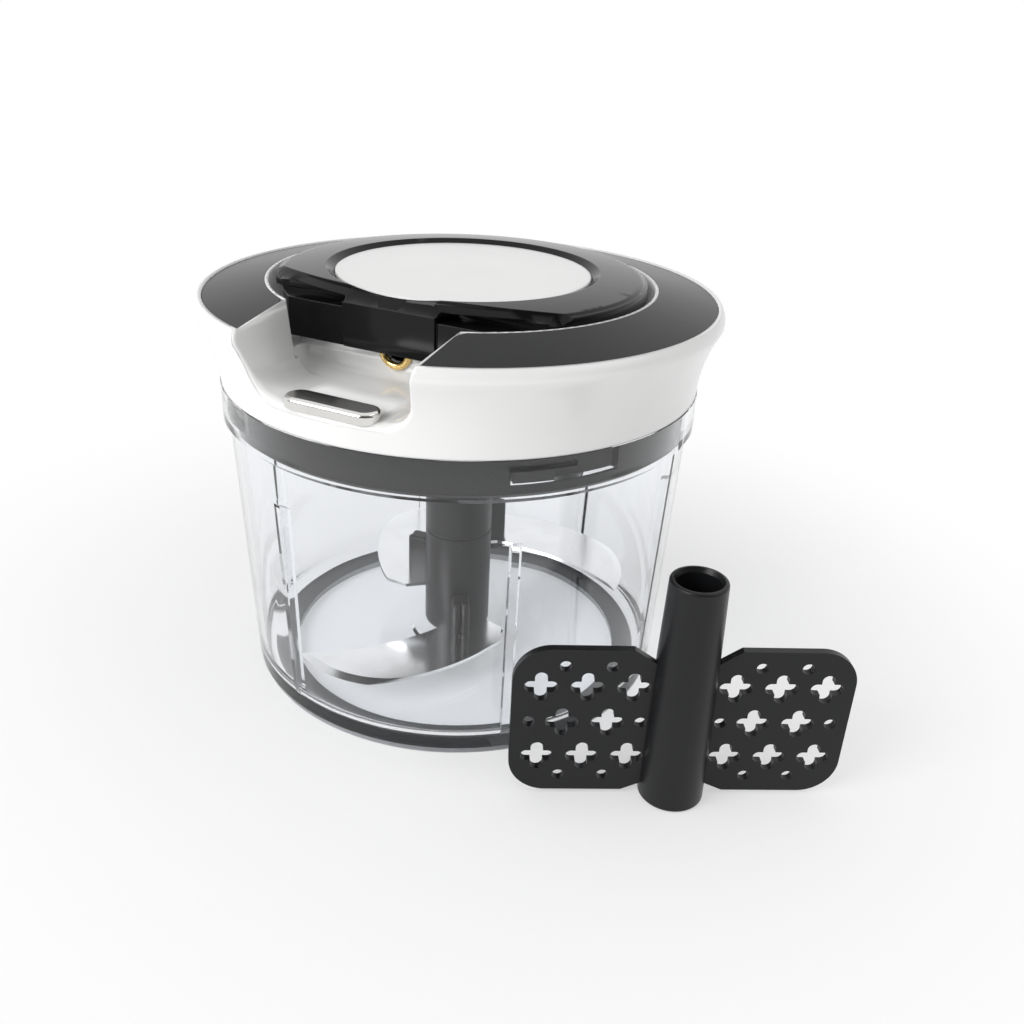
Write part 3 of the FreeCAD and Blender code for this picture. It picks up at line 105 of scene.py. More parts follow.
class Value:
    """One output of a finish's node tree, with the usual signs for arithmetic."""

    def __init__(self, finish, socket):
        self.finish = finish
        self.socket = socket

    def maths(self, operation, *others):
        """The Math node of that name, fed with this value and the others in order."""
        return self.finish.node("Math", {"operation": operation}, {
            place: value for place, value in enumerate((self, *others))})

    def __add__(self, other):
        return self.maths("ADD", other)

    def __mul__(self, other):
        return self.maths("MULTIPLY", other)

    def __sub__(self, other):
        return self.maths("SUBTRACT", other)

    def __neg__(self):
        return self * -1

    def __rsub__(self, other):
        return -self + other

    __radd__ = __add__
    __rmul__ = __mul__

    def between(self, low, high):
        """Zero below low, one above high, and smooth between them."""
        return self.finish.node(
            "MapRange", {"interpolation_type": "SMOOTHSTEP"},
            {"Value": self, "From Min": low, "From Max": high})


class Finish:
    """A material that is built up from nodes, with its main shader at hand."""

    def __init__(self, name):
        self.material = bpy.data.materials.new(name)
        self.material.use_nodes = True
        self.tree = self.material.node_tree
        self.shader = self.tree.nodes["Principled BSDF"]
        self.place = self.node("TexCoord", {}, {}, "Object")

    def feed(self, node, values):
        """Sets each socket of the node to a number or a colour, or links it to a value."""
        for name, value in values.items():
            socket = node.inputs[name]
            if isinstance(value, Value):
                self.tree.links.new(value.socket, socket)
            else:
                socket.default_value = value

    def node(self, kind, settings, values, out=0):
        """A node of that kind: its settings first, then its sockets; gives one of its outputs."""
        made = self.tree.nodes.new("ShaderNode" + kind)
        for name, setting in settings.items():
            setattr(made, name, setting)
        self.feed(made, values)
        return Value(self, made.outputs[out])

    def noise(self, size, detail=2.0, rough=0.5, stretch=(1, 1, 1)):
        """Clouds whose blobs are about size metres across, from 0 to 1."""
        place = self.node("Mapping", {}, {"Vector": self.place, "Scale": stretch})
        return self.node("TexNoise", {}, {
            "Vector": place, "Scale": 1 / size, "Detail": detail, "Roughness": rough})

    def mixed(self, share, first, second):
        """A colour that goes from first to second with the share."""
        return self.node("Mix", {"data_type": "RGBA"}, {0: share, 6: first, 7: second}, 2)

    def relief(self, height, depth, roll=0.0):
        """A bump of that height, 0 to 1, over that depth in metres, on edges rolled to a radius."""
        rolled = self.node("Bevel", {"samples": 6}, {"Radius": roll}) if roll else None
        base = {"Normal": rolled} if roll else {}
        return self.node("Bump", {}, {"Height": height, "Strength": 1.0, "Distance": depth, **base})

    def surface(self, **values):
        """Feeds the main shader; an underscore in a name stands for a space."""
        self.feed(self.shader, {name.replace("_", " "): value for name, value in values.items()})

    def blended(self, share, other):
        """Shows a mix that goes from the main shader to another one with the share."""
        main = Value(self, self.shader.outputs[0])
        mix = self.node("MixShader", {}, {0: share, 1: main, 2: other})
        self.tree.links.new(mix.socket, self.tree.nodes["Material Output"].inputs["Surface"])


def shade(*levels):
    """A colour with full opacity from one grey level or three channels, in linear light."""
    return (*(levels * 3 if len(levels) == 1 else levels), 1.0)


print("finish tools ready")

# %% [markdown]
# ## Moulded plastics
# The lid, the handle, the plate, the column and the paddle are moulded.  Moulded plastic is never one
# flat colour: the skin has a very fine grain from the mould, a little flow marking that changes the
# gloss over a few centimetres, and thin wiping scratches.  Each could be a painted picture, but a
# picture needs unwrapped surfaces and shows its dots close up.  Clouds worked out in the shader need
# neither, so all three are clouds at different scales.  Their strengths are what tells a glossy lid
# from a satin column, so one function makes every plastic.

# %% Plastics
FLOW_SIZE, SCRATCH_SIZE, SCRATCH_STRETCH = 0.035, 0.004, (1, 14, 3)
SCRATCH_LEVELS, TINT_LEVELS = (0.62, 0.72), (0.3, 0.85)
SKIN_SHARE, SCRATCH_ROUGH = 0.25, 0.05


def plastic(name, colour, tint, gloss, grain=0.3e-3, depth=4e-6, spread=0.06, coat=0.0, roll=0.0,
            **more):
    """Colour and roughness drift with wide clouds; fine clouds raise a mould grain of that depth.
    Roughness is gloss + spread * (clouds - 0.5) + a little more along the wiping scratches."""
    finish = Finish(name)
    flow = finish.noise(FLOW_SIZE, detail=3.0)
    skin = finish.noise(grain, detail=2.0, rough=0.6)
    scratches = finish.noise(SCRATCH_SIZE, 4.0, 0.7, SCRATCH_STRETCH).between(*SCRATCH_LEVELS)
    drift = (flow + skin * SKIN_SHARE).between(*TINT_LEVELS)
    finish.surface(
        Base_Color=finish.mixed(drift, shade(*colour), shade(*tint)),
        Roughness=(flow - 0.5) * spread + scratches * SCRATCH_ROUGH + gloss,
        Normal=finish.relief(skin, depth, roll), Coat_Weight=coat, **more)
    return finish.material


white_gloss = plastic(
    "white_gloss", (0.83, 0.83, 0.82), (0.79, 0.79, 0.785), 0.24, coat=0.25, roll=0.9e-3,
    Coat_Roughness=0.08)
plate_charcoal = plastic(
    "plate_charcoal", (0.0085, 0.0090, 0.0100), (0.0115, 0.012, 0.013), 0.26, depth=6e-6,
    roll=0.3e-3, Specular_IOR_Level=0.13)
handle_black = plastic(
    "handle_black", (0.0035, 0.0035, 0.0038), (0.005, 0.005, 0.0055), 0.13, depth=2e-6,
    roll=0.5e-3, Specular_IOR_Level=0.21)
dark_satin = plastic(
    "dark_satin", (0.022, 0.0215, 0.021), (0.028, 0.0275, 0.027), 0.36, grain=0.4e-3, depth=5e-6,
    Specular_IOR_Level=0.3)
paddle_black = plastic(
    "paddle_black", (0.0065, 0.0068, 0.0076), (0.009, 0.0094, 0.0104), 0.34, grain=0.4e-3, depth=8e-6,
    Specular_IOR_Level=0.3)
natural_acetal = plastic("natural_acetal", (0.62, 0.60, 0.55), (0.57, 0.55, 0.50), 0.4)
soft_grey = plastic("soft_grey", (0.20, 0.205, 0.21), (0.235, 0.24, 0.245), 0.62, depth=16e-6)
print("plastics:", len(bpy.data.materials))

# %% [markdown]
# ## Metals
# The wear pad and the eyelet are turned or pressed and then polished, the blades are ground along
# their edge.  Polishing leaves very fine lines in one direction.  They could be single scratches
# drawn as geometry, but thousands of them cost more than the whole chopper.  Noise stretched along
# one direction looks the same: it lifts the roughness a little and tilts the surface very slightly.

# %% Metals
LINE_SIZE, STAIN_SIZE = 0.002, 0.012
STAIN_LEVELS, STAIN_ROUGH = (0.35, 0.8), 0.04


def metal(name, colour, tint, gloss, stretch, depth=2e-6, spread=0.1):
    """Fully metallic; lines are noise squeezed along one axis, and lift roughness by spread."""
    finish = Finish(name)
    lines = finish.noise(LINE_SIZE, 5.0, 0.7, stretch)
    stain = finish.noise(STAIN_SIZE, detail=3.0)
    finish.surface(
        Base_Color=finish.mixed(stain.between(*STAIN_LEVELS), shade(*colour), shade(*tint)),
        Roughness=lines * spread + stain * STAIN_ROUGH + gloss, Metallic=1.0,
        Normal=finish.relief(lines, depth))
    return finish.material


pad_steel = metal("pad_steel", (0.74, 0.73, 0.71), (0.66, 0.65, 0.63), 0.08, (0.4, 8, 8))
blade_steel = metal("blade_steel", (0.93, 0.93, 0.93), (0.87, 0.87, 0.87), 0.10, (1, 1, 12))
spring_steel = metal("spring_steel", (0.30, 0.31, 0.34), (0.24, 0.25, 0.28), 0.25, (1, 1, 12))
eyelet_brass = metal("eyelet_brass", (0.80, 0.58, 0.24), (0.72, 0.49, 0.17), 0.12, (1, 8, 1))
print("metals: pad, blade and spring steel, brass")

# %% [markdown]
# ## Clear plastic
# The bowl is a clear, very slightly blue plastic.  Light that grazes an edge runs a long way inside
# the wall, which is why edges look bluer than faces.  A see-through shader without refraction would
# be quicker, but it loses those edges.  A transmitting shader with a faint colour makes them by
# itself.  Lamps can't be sampled through a refracting wall, so for shadow rays only the material is
# plain transparent.

# %% The bowl's plastic
WIPE_SIZE, WIPE_LEVELS = 0.03, (0.45, 0.85)
clear = Finish("bowl_clear")
wipe = clear.noise(WIPE_SIZE, detail=3.0).between(*WIPE_LEVELS)
clear.surface(
    Base_Color=shade(0.965, 0.975, 0.99), Transmission_Weight=1.0, IOR=1.38,
    Roughness=wipe * 0.05 + 0.01)
see_through = clear.node("BsdfTransparent", {}, {"Color": shade(0.93, 0.94, 0.95)})
clear.blended(clear.node("LightPath", {}, {}, "Is Shadow Ray"), see_through)
bowl_clear = clear.material
print("clear plastic, nodes:", len(clear.tree.nodes))

# %% [markdown]
# ## Cord
# The pull cord is braided nylon, about two millimetres thick.  Single strands could be swept as
# tubes, but at this thickness they are a fraction of a millimetre.  Slanted waves a little out of
# true give the same light and dark rhythm, so the braid is a pattern in the finish.

# %% Cord
STRANDS_PER_METRE = 600.0
braid = Finish("cord_braid")
strands = braid.node("TexWave", {"bands_direction": "DIAGONAL"}, {
    "Vector": braid.place, "Scale": STRANDS_PER_METRE, "Distortion": 1.0})
braid.surface(
    Base_Color=braid.mixed(strands, shade(0.55, 0.54, 0.51), shade(0.75, 0.74, 0.71)),
    Roughness=0.8, Normal=braid.relief(strands, 0.15e-3))
cord_braid = braid.material
print("cord, nodes:", len(braid.tree.nodes))

# %% [markdown]
# ## Dress the parts
# A real chopper is put together from parts of a dozen materials.  Each could be chosen by hand in
# the material tab, but a table is quicker to read and to change: every finish is followed by the
# parts that wear it.  A part whose engineering shape is already right gets nothing more.

# %% Give each part its finish
FINISHES = {
    white_gloss: ["lid_housing", "handle_disc"],
    plate_charcoal: ["top_plate"],
    handle_black: ["handle_cap", "handle_base"],
    dark_satin: ["gear_cover", "column_upper", "column_lower", "blade_clamp_lower",
                 "blade_clamp_middle", "blade_clamp_upper"],
    paddle_black: ["mixing_paddle"],
    natural_acetal: ["cord_reel", "spring_cover", "drive_hub", "pawl_front", "pawl_rear"],
    soft_grey: ["base_ring", "lid_seal"],
    pad_steel: ["wear_pad", "spindle_pin", "reel_axle", "cover_screws", "handle_screws"],
    blade_steel: ["blade_lower", "blade_middle", "blade_upper"],
    spring_steel: ["recoil_spring"],
    eyelet_brass: ["cord_eyelet", "cord_ferrule", "pin_bush"],
    bowl_clear: ["bowl"],
    cord_braid: ["wound_cord", "cord_lead"],
}
for material, names in FINISHES.items():
    for name in names:
        nodes[name].data.materials.clear()
        nodes[name].data.materials.append(material)
left = sorted(set(nodes) - {name for names in FINISHES.values() for name in names})
print("parts with no finish:", left)

# %% [markdown]
# ## Surfaces as grids
# The scoop, the rolled lip and the cord's run are smooth surfaces that bend two ways.  They could be
# pushed about by hand, but then no size in them could be read or changed.  Worked out as a grid of
# points, each shape is a formula, and one function joins any grid into a mesh.

# %% From a grid to a mesh
MM = 0.001
WELD = 2e-6


def outward(mesh):
    """Turns every face outwards, once doubled corners are merged."""
    work = bmesh.new()
    work.from_mesh(mesh)
    bmesh.ops.remove_doubles(work, verts=work.verts, dist=WELD)
    bmesh.ops.recalc_face_normals(work, faces=work.faces)
    work.to_mesh(mesh)
    work.free()


def grid_mesh(name, rings, looped=False):
    """A mesh from an array of rings, shaped (rings, points, 3), in millimetres: each ring is joined
    to the next by quads.  A looped grid joins its last ring to its first, any other gets a face on
    each end."""
    count, around = rings.shape[:2]
    here = np.arange(count * around).reshape(count, around)
    here = np.concatenate([here, here[:1]]) if looped else here
    beside = np.roll(here, -1, axis=1)
    quads = np.stack([here[:-1], beside[:-1], beside[1:], here[1:]], axis=-1).reshape(-1, 4).tolist()
    ends = [] if looped else [here[0][::-1].tolist(), here[-1].tolist()]
    mesh = bpy.data.meshes.new(name)
    mesh.from_pydata((rings.reshape(-1, 3) * MM).tolist(), [], quads + ends)
    outward(mesh)
    return mesh


def brick(name, low, high):
    """A box between two corners in millimetres."""
    (x0, y0, z0), (x1, y1, z1) = low, high
    ring = np.array([(x0, y0), (x1, y0), (x1, y1), (x0, y1)])
    return grid_mesh(name, np.array([np.column_stack([ring, np.full(4, z)]) for z in (z0, z1)]))


print("corners closer than", WELD / MM, "mm are welded")

# %% [markdown]
# ## Turned shapes
# The eyelet, the disc and the handle's rim are round, so their moulds are turned on a lathe.  Blender
# could spin a drawn profile, but its doubled seam has to be cleaned up afterwards.  Here the profile
# is multiplied with a full turn in one array, which closes by itself.

# %% Turn a profile
CREASE = 32.0


def softened(mesh, crease=CREASE):
    """Smooth shading with a sharp edge wherever two faces meet at more than the crease."""
    mesh.shade_smooth()
    mesh.set_sharp_from_angle(angle=math.radians(crease))
    return mesh


def lathe_mesh(name, profile, place=None, looped=False, steps=96):
    """A profile of radius and height turned about +Z, or about -Y at a place on the tower's front:
    x = r sin a, y = -r cos a, z = h."""
    turn = np.linspace(0, 2 * math.pi, steps, endpoint=False)
    radius, height = np.array(profile, dtype=float).T
    around = np.stack([
        radius[:, None] * np.sin(turn), radius[:, None] * -np.cos(turn),
        np.repeat(height[:, None], steps, axis=1)], axis=-1)
    if place is not None:
        around = np.stack([around[..., 0], -around[..., 2], around[..., 1]], axis=-1) + place
    return softened(grid_mesh(name, around, looped))


QUARTER = np.radians(np.arange(0, 91, 15))
print("a quarter of a roll is drawn in", len(QUARTER) - 1, "steps")

# %% [markdown]
# ## Carve and settle
# The lid and the handle have rolled edges that the plain solids lack.  A bevel over thousands of
# small triangles tears, and drawing the whole lid anew would lose the solid's exact places.  So a
# copy of the solid is cut with tools that already have the roll.  The finished piece then takes the
# solid's place and moves with the same body.

# %% Carve a copy, settle a piece


def link(name, data):
    """A new object in the scene that carries the mesh or the lamp."""
    made = bpy.data.objects.new(name, data)
    bpy.context.scene.collection.objects.link(made)
    return made


def carved(node, name, steps, crease=CREASE):
    """A copy of a node's mesh after a chain of exact Booleans, each an operation and a tool."""
    mesh = nodes[node].data.copy()
    outward(mesh)
    piece = link(name, mesh)
    for operation, tool_mesh in steps:
        tool = link("tool", tool_mesh)
        change = piece.modifiers.new("carve", "BOOLEAN")
        change.operation, change.solver, change.object = operation, "EXACT", tool
        seen = piece.evaluated_get(bpy.context.evaluated_depsgraph_get())
        result = bpy.data.meshes.new_from_object(seen)
        piece.modifiers.clear()
        piece.data = result
        bpy.data.objects.remove(tool)
    outward(piece.data)
    softened(piece.data, crease)
    return piece


def settle(piece, body, node, material):
    """Puts a finished piece in its node's place, in its material and, if it has one, on its body."""
    piece.data.materials.clear()
    piece.data.materials.append(material)
    if body:
        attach(piece, body)
    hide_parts(node)
    print(piece.name, len(piece.data.polygons), "faces")


print("triangles before carving:", {
    name: len(nodes[name].data.polygons) for name in ("lid_housing", "handle_cap")})

# %% [markdown]
# ## The lid's skin
# From the skirt the lid flares outwards in a hollow sweep and turns in again over a small shoulder.
# Its radius could be measured on the solid's triangles, but they are flat, and a lip that follows
# flat triangles turns out ragged.  Two arcs through three named points give it exactly.

# %% Reach of the skin
SKIRT, WAIST, EDGE = (82.3, 112.6), (88.7, 137.0), (87.3, 141.3)
SKIRT_HOLLOW, SHOULDER = 52.0, 5.5


def arc_reach(height, low, high, radius, side):
    """Radius of the lid at a height, on an arc from low to high, hollow for side -1: the centre is
    beside the chord's middle by sqrt(radius^2 - half chord^2)."""
    low, high = np.array(low), np.array(high)
    chord = high - low
    half = np.linalg.norm(chord) / 2
    out = np.array([chord[1], -chord[0]]) / (2 * half)
    centre = (low + high) / 2 - side * out * math.sqrt(radius ** 2 - half ** 2)
    return centre[0] + side * np.sqrt(np.maximum(radius ** 2 - (height - centre[1]) ** 2, 0))


def skin_reach(height):
    """Radius of the lid's skin: hollow up to the waist, then the round shoulder."""
    hollow = arc_reach(np.minimum(height, WAIST[1]), SKIRT, WAIST, SKIRT_HOLLOW, -1)
    round_top = arc_reach(np.clip(height, WAIST[1], EDGE[1]), WAIST, EDGE, SHOULDER, 1)
    return np.where(height < WAIST[1], hollow, round_top)


print("lid's skin at 120, 130 and 140 mm:", skin_reach(np.array([120.0, 130.0, 140.0])).round(2))

# %% [markdown]
# ## The scoop
# In front of the cord the lid is scooped out, and its lip is rolled over so that fingers slide in.
# The solid has the same scoop with plain edges, and rounding those would tear its triangles.  So the
# scoop is cut once more with a tool that already has the rolled lip: a grid whose rings follow the
# outline of the scoop and flare along a quarter circle as they come to the lid's skin.

# %% The scoop's tool
SCOOP_HALF, SCOOP_LEAN, SCOOP_ROUND, SCOOP_FLOOR = 29.8, 0.20, 9.4, 121.55
LIP_WALL, LIP_FLOOR, LIP_EASE = 1.5, 4.0, 0.7
PLATE_HEIGHT, ABOVE_PLATE, SKY = 141.0, 4.0, 165.0
TOWER_FRONT, TOOL_OUT = 43.05, 12.0
CORNER_STEPS, FLOOR_STEPS, WALL_STEPS = 9, 8, 14


def half_outline():
    """Right half of the scoop's outline as x and z: floor, round corner, then a wall that leans."""
    lean = math.atan(SCOOP_LEAN)
    turn = np.linspace(0, math.pi / 2 - lean, CORNER_STEPS)
    corner = np.stack([np.sin(turn), 1 - np.cos(turn)], axis=1) * SCOOP_ROUND
    foot = SCOOP_HALF - SCOOP_LEAN * (PLATE_HEIGHT - SCOOP_FLOOR - corner[-1, 1])
    corner += (foot - corner[-1, 0], SCOOP_FLOOR)
    rise = np.linspace(corner[-1, 1], PLATE_HEIGHT + ABOVE_PLATE, WALL_STEPS)[1:]
    wall = np.stack([foot + SCOOP_LEAN * (rise - corner[-1, 1]), rise], axis=1)
    across_floor = np.linspace(0, corner[0, 0], FLOOR_STEPS)[1:-1]
    floor_line = np.stack([across_floor, np.full(len(across_floor), SCOOP_FLOOR)], axis=1)
    return np.concatenate([floor_line, corner, wall, [(wall[-1, 0], SKY)]])


def scoop_grid():
    """Rings at the depth r (1 - sin a) under the skin.  A ring is the outline moved out along its
    own normal by r (1 - cos a), with r larger along the floor than along the walls.  The first
    ring stands outside the lid and the last one in the tower's front."""
    right = half_outline()
    outline = np.concatenate([right, (right * (-1, 1))[::-1]])
    along = np.roll(outline, -1, axis=0) - np.roll(outline, 1, axis=0)
    normal = np.stack([along[:, 1], -along[:, 0]], axis=1)
    normal /= np.linalg.norm(normal, axis=1, keepdims=True)
    low = np.clip((outline[:, 1] - SCOOP_FLOOR) / SCOOP_ROUND, 0, 1)
    lip = LIP_FLOOR + (LIP_WALL - LIP_FLOOR) * low ** LIP_EASE
    swing = np.radians(np.arange(64, -1, -8))[:, None]
    place = outline + normal * (lip * (1 - np.cos(swing)))[..., None]
    place = np.concatenate([place[:1], place])
    depth = np.concatenate([np.full((1, len(lip)), -TOOL_OUT), lip * (1 - np.sin(swing))])
    reach = np.sqrt(skin_reach(place[..., 1]) ** 2 - place[..., 0] ** 2)
    rings = np.stack([place[..., 0], depth - reach, place[..., 1]], axis=-1)
    last = rings[-1:].copy()
    last[..., 1] = -TOWER_FRONT
    return np.concatenate([rings, last])


scoop_tool = grid_mesh("scoop_tool", scoop_grid())
print("scoop's tool:", len(scoop_tool.polygons), "faces")

# %% [markdown]
# ## The bay under the handle
# Between the scoop and the tower that carries the handle the floor is a shallow bay with rounded
# bottom edges.  The solid has a step there that lies too deep in places, and a cut alone can only
# take more away.  So a plain bed is added first and the bay is cut into it with a second tool.

# %% The bay's bed and tool
BAY_HALF, BAY_RADIUS, BAY_ROUND, BAY_TOP = 34.0, 63.4, 4.7, 128.0
BED_HALF, BED_FRONT, BED_BACK, BED_UNDER, BED_TOP = 36.6, -65.5, -41.5, 118.8, 126.8


def bay_outline(inset, steps=17):
    """The bay's plan: an arc of the recess in front, straight sides and the tower behind."""
    half, radius, back = BAY_HALF - inset, BAY_RADIUS - inset, TOWER_FRONT + inset
    edge = math.asin(half / radius)
    swing = np.linspace(-edge, edge, steps)
    front = np.stack([np.sin(swing), -np.cos(swing)], axis=1) * radius
    behind = np.array([(half, -back), (-half, -back)])
    return np.concatenate([front, behind])


def bay_grid():
    """Rings from the floor up: the plan is drawn in by r (1 - sin a) at the height r (1 - cos a)."""
    plans = np.array([bay_outline(BAY_ROUND * (1 - math.sin(a))) for a in QUARTER])
    heights = SCOOP_FLOOR + BAY_ROUND * (1 - np.cos(QUARTER))
    plans = np.concatenate([plans, plans[-1:]])
    heights = np.append(heights, BAY_TOP)[:, None, None]
    return np.concatenate([plans, np.broadcast_to(heights, (*plans.shape[:2], 1))], axis=-1)


bay_tool = grid_mesh("bay_tool", bay_grid())
bay_bed = brick("bay_bed", (-BED_HALF, BED_FRONT, BED_UNDER), (BED_HALF, BED_BACK, BED_TOP))
print("bay's tool:", len(bay_tool.polygons), "faces")

# %% [markdown]
# ## Carve the lid
# The lid is one moulding, so it stays one mesh: the bed goes on, then scoop, bay and the cord's bore
# come out.  The solid has two small tabs beside the scoop's mouth that stand out from the skin.  A
# file would take them off a real moulding, and here a ring that follows the skin does the same.
# The cuts leave long thin triangles that shade unevenly, so the skin takes its normals from its
# formula.

# %% Carve the lid
EYELET = np.array([0, -43.0, 130.1])
BORE, BORE_BACK, BORE_FRONT = 3.8, -9, 2
TRIM_LOW, TRIM_HIGH, TRIM_OUT, TRIM_GAP = 126.2, 132.6, 92.0, 0.012


def read(items, name, width, kind=float):
    """One property of many mesh items, as an array with that many columns."""
    flat = np.empty(len(items) * width, dtype=kind)
    items.foreach_get(name, flat)
    return flat.reshape(-1, width)


def smooth_skin(mesh, closeness=0.35, fold=40.0, step=0.05):
    """Lets the lid's skin shade as the true surface: the normal is (1, -slope of the reach) in the
    plane of radius and height, on the corners that lie close to the skin and face nearly that way."""
    corners = read(mesh.loops, "vertex_index", 1, int)[:, 0]
    x, y, z = (read(mesh.vertices, "co", 3)[corners] / MM).T
    normals = read(mesh.corner_normals, "vector", 3)
    sizes = read(mesh.polygons, "loop_total", 1, int)[:, 0]
    faces = np.repeat(read(mesh.polygons, "normal", 3), sizes, axis=0)
    slope = (skin_reach(z + step) - skin_reach(z - step)) / (2 * step)
    radius = np.hypot(x, y) + 1e-9
    true = np.stack([x / radius, y / radius, -slope], axis=1)
    true /= np.linalg.norm(true, axis=1, keepdims=True)
    on_skin = abs(radius - skin_reach(z)) < closeness
    on_skin &= (z > SKIRT[1] + step) & (z < EDGE[1] - step)
    on_skin &= (true * faces).sum(axis=1) > math.cos(math.radians(fold))
    normals[on_skin] = true[on_skin]
    mesh.normals_split_custom_set(normals.tolist())
    print("skin corners made smooth:", int(on_skin.sum()), "of", len(corners))


eyelet_hole = lathe_mesh("eyelet_hole", [(BORE, BORE_BACK), (BORE, BORE_FRONT)], EYELET)
trim_levels = np.linspace(TRIM_LOW, TRIM_HIGH, 9)
trim_skin = np.stack([skin_reach(trim_levels) + TRIM_GAP, trim_levels], axis=1)
skin_trim = lathe_mesh(
    "skin_trim", [*trim_skin, (TRIM_OUT, TRIM_HIGH), (TRIM_OUT, TRIM_LOW)], looped=True, steps=360)
lid_shell = carved("lid_housing", "lid_shell", [
    ("UNION", bay_bed), ("DIFFERENCE", scoop_tool), ("DIFFERENCE", bay_tool),
    ("DIFFERENCE", eyelet_hole), ("DIFFERENCE", skin_trim)])
settle(lid_shell, "lid", "lid_housing", white_gloss)
smooth_skin(lid_shell.data)

# %% [markdown]
# ## The eyelet
# The cord leaves the tower through a brass eyelet, pressed from sheet with its edge rolled outwards.
# A torus would do, but the same turned profile as for the other round pieces keeps its place on the
# tower's front exact.

# %% Eyelet
RING_REACH, RING_ROLL, RING_PROUD = 4.85, 1.2, 0.45
ring_turn = np.radians(np.arange(0, 360, 20))
rolled = np.stack([RING_REACH + RING_ROLL * np.cos(ring_turn),
                   RING_PROUD + RING_ROLL * np.sin(ring_turn)], axis=1)
eyelet_ring = link("eyelet_ring", lathe_mesh("eyelet_ring", rolled, EYELET, looped=True))
settle(eyelet_ring, "lid", "cord_eyelet", eyelet_brass)

# %% [markdown]
# ## The white disc
# A plain white disc closes the handle's crown and lies a little below its edge.  A cylinder with a
# bevel would look alike, but its flat top shades across long thin triangles.  The turned profile has
# one more ring just inside the edge, which keeps the top flat.

# %% White disc
DISC_REACH, DISC_TOP, DISC_UNDER = 43.2, 147.3, 145.4
DISC_EDGE, DISC_SOFT, DISC_RING = 0.4, 0.12, 1.0
white_disc = link("white_disc", lathe_mesh("white_disc", [
    (DISC_REACH, DISC_UNDER), (DISC_REACH, DISC_TOP - DISC_EDGE),
    (DISC_REACH - DISC_SOFT, DISC_TOP - DISC_SOFT),
    (DISC_REACH - DISC_EDGE, DISC_TOP), (DISC_REACH - DISC_RING, DISC_TOP)]))
settle(white_disc, "handle", "handle_disc", white_gloss)

# %% [markdown]
# ## The handle
# The handle is a black cap: its crown drops to the disc with a narrow bevel, its rim is a rounded
# band, and its skirt ends a little above the scoop's floor.  Bevels on the solid's own edges would
# have to stop at the grip, where many of them meet.  Two turned tools and a box cut all three forms
# and leave the grip as it is.

# %% Carve the handle
RECESS_GAP, RECESS_UNDER, RECESS_EDGE = 0.25, 0.05, 1.0
CROWN_IN, CROWN_TOP, OVER_CROWN = 46.3, 148.55, 152
RIM_REACH, RIM_LOW, CROWN_EDGE, CROWN_LOW = 62.5, 143.6, 60.9, 147.4
RIM_UNDER, RIM_OUT = 141, 70
SKIRT_HALF, SKIRT_BACK, SKIRT_UNDER, SKIRT_END = 66, -43.2, 120, 130.0
HANDLE_CREASE = 17.0

recess_tool = lathe_mesh("recess_tool", [
    (DISC_REACH + RECESS_GAP, DISC_UNDER - RECESS_UNDER),
    (DISC_REACH + RECESS_GAP, DISC_TOP - RECESS_EDGE),
    (CROWN_IN, CROWN_TOP), (CROWN_IN, OVER_CROWN)])
bullnose = np.stack([CROWN_EDGE + (RIM_REACH - CROWN_EDGE) * np.cos(QUARTER),
                     RIM_LOW + (CROWN_LOW - RIM_LOW) * np.sin(QUARTER)], axis=1)
rim_tool = lathe_mesh("rim_tool", [
    (RIM_REACH, RIM_UNDER), *bullnose, (CROWN_EDGE, OVER_CROWN), (RIM_OUT, OVER_CROWN),
    (RIM_OUT, RIM_UNDER)], looped=True)
skirt_tool = brick("skirt_tool", (-SKIRT_HALF, -SKIRT_HALF, SKIRT_UNDER),
                   (SKIRT_HALF, SKIRT_BACK, SKIRT_END))
handle_shell = carved("handle_cap", "handle_shell", [
    ("DIFFERENCE", skirt_tool), ("DIFFERENCE", rim_tool), ("DIFFERENCE", recess_tool)],
    HANDLE_CREASE)
settle(handle_shell, "handle", "handle_cap", handle_black)

# %% [markdown]
# ## The run of cord up to the handle
# From the eyelet the cord turns up into the handle.  When the handle is pulled this short run has to
# reach all the way to the hand.  Here it is one tube, drawn once at rest: level out of the tower, a
# quarter bend, then straight up.  It belongs to no body, so it stays where it is drawn.  Its rings
# are closely spaced so that it stays smooth.

# %% Cord lead
CORD_RADIUS, CORD_OUT, CORD_LEVEL, CORD_BEND, CORD_TOP = 1.05, -45.75, 131.6, 2.2, 138.3
CORD_SIDES, BEND_STEPS, RISE_STEPS = 16, 9, 24
CORD_START = (-38.0, -41.0)


def cord_way():
    """The middle of the cord: level out of the tower, a quarter circle, then straight up."""
    bend = np.radians(np.linspace(0, 90, BEND_STEPS))
    rise = np.linspace(CORD_LEVEL + CORD_BEND, CORD_TOP, RISE_STEPS)[1:]
    depth = np.concatenate([
        CORD_START, CORD_OUT + CORD_BEND * (1 - np.sin(bend)), np.full(len(rise), CORD_OUT)])
    height = np.concatenate([
        [CORD_LEVEL] * len(CORD_START), CORD_LEVEL + CORD_BEND * (1 - np.cos(bend)), rise])
    return np.stack([np.zeros(len(depth)), depth, height], axis=1)


def tube_grid(way, radius, sides):
    """Rings of a tube along a way in the plane x = 0: the point at the angle a is
    way + r (cos a * sideways + sin a * up), where up stands square on the way."""
    heading = np.gradient(way, axis=0)
    heading /= np.linalg.norm(heading, axis=1, keepdims=True)
    sideways = np.array([1.0, 0, 0])
    up = np.cross(heading, sideways)[:, None]
    turn = np.linspace(0, 2 * math.pi, sides, endpoint=False)[None, :, None]
    return way[:, None] + radius * (np.cos(turn) * sideways + np.sin(turn) * up)


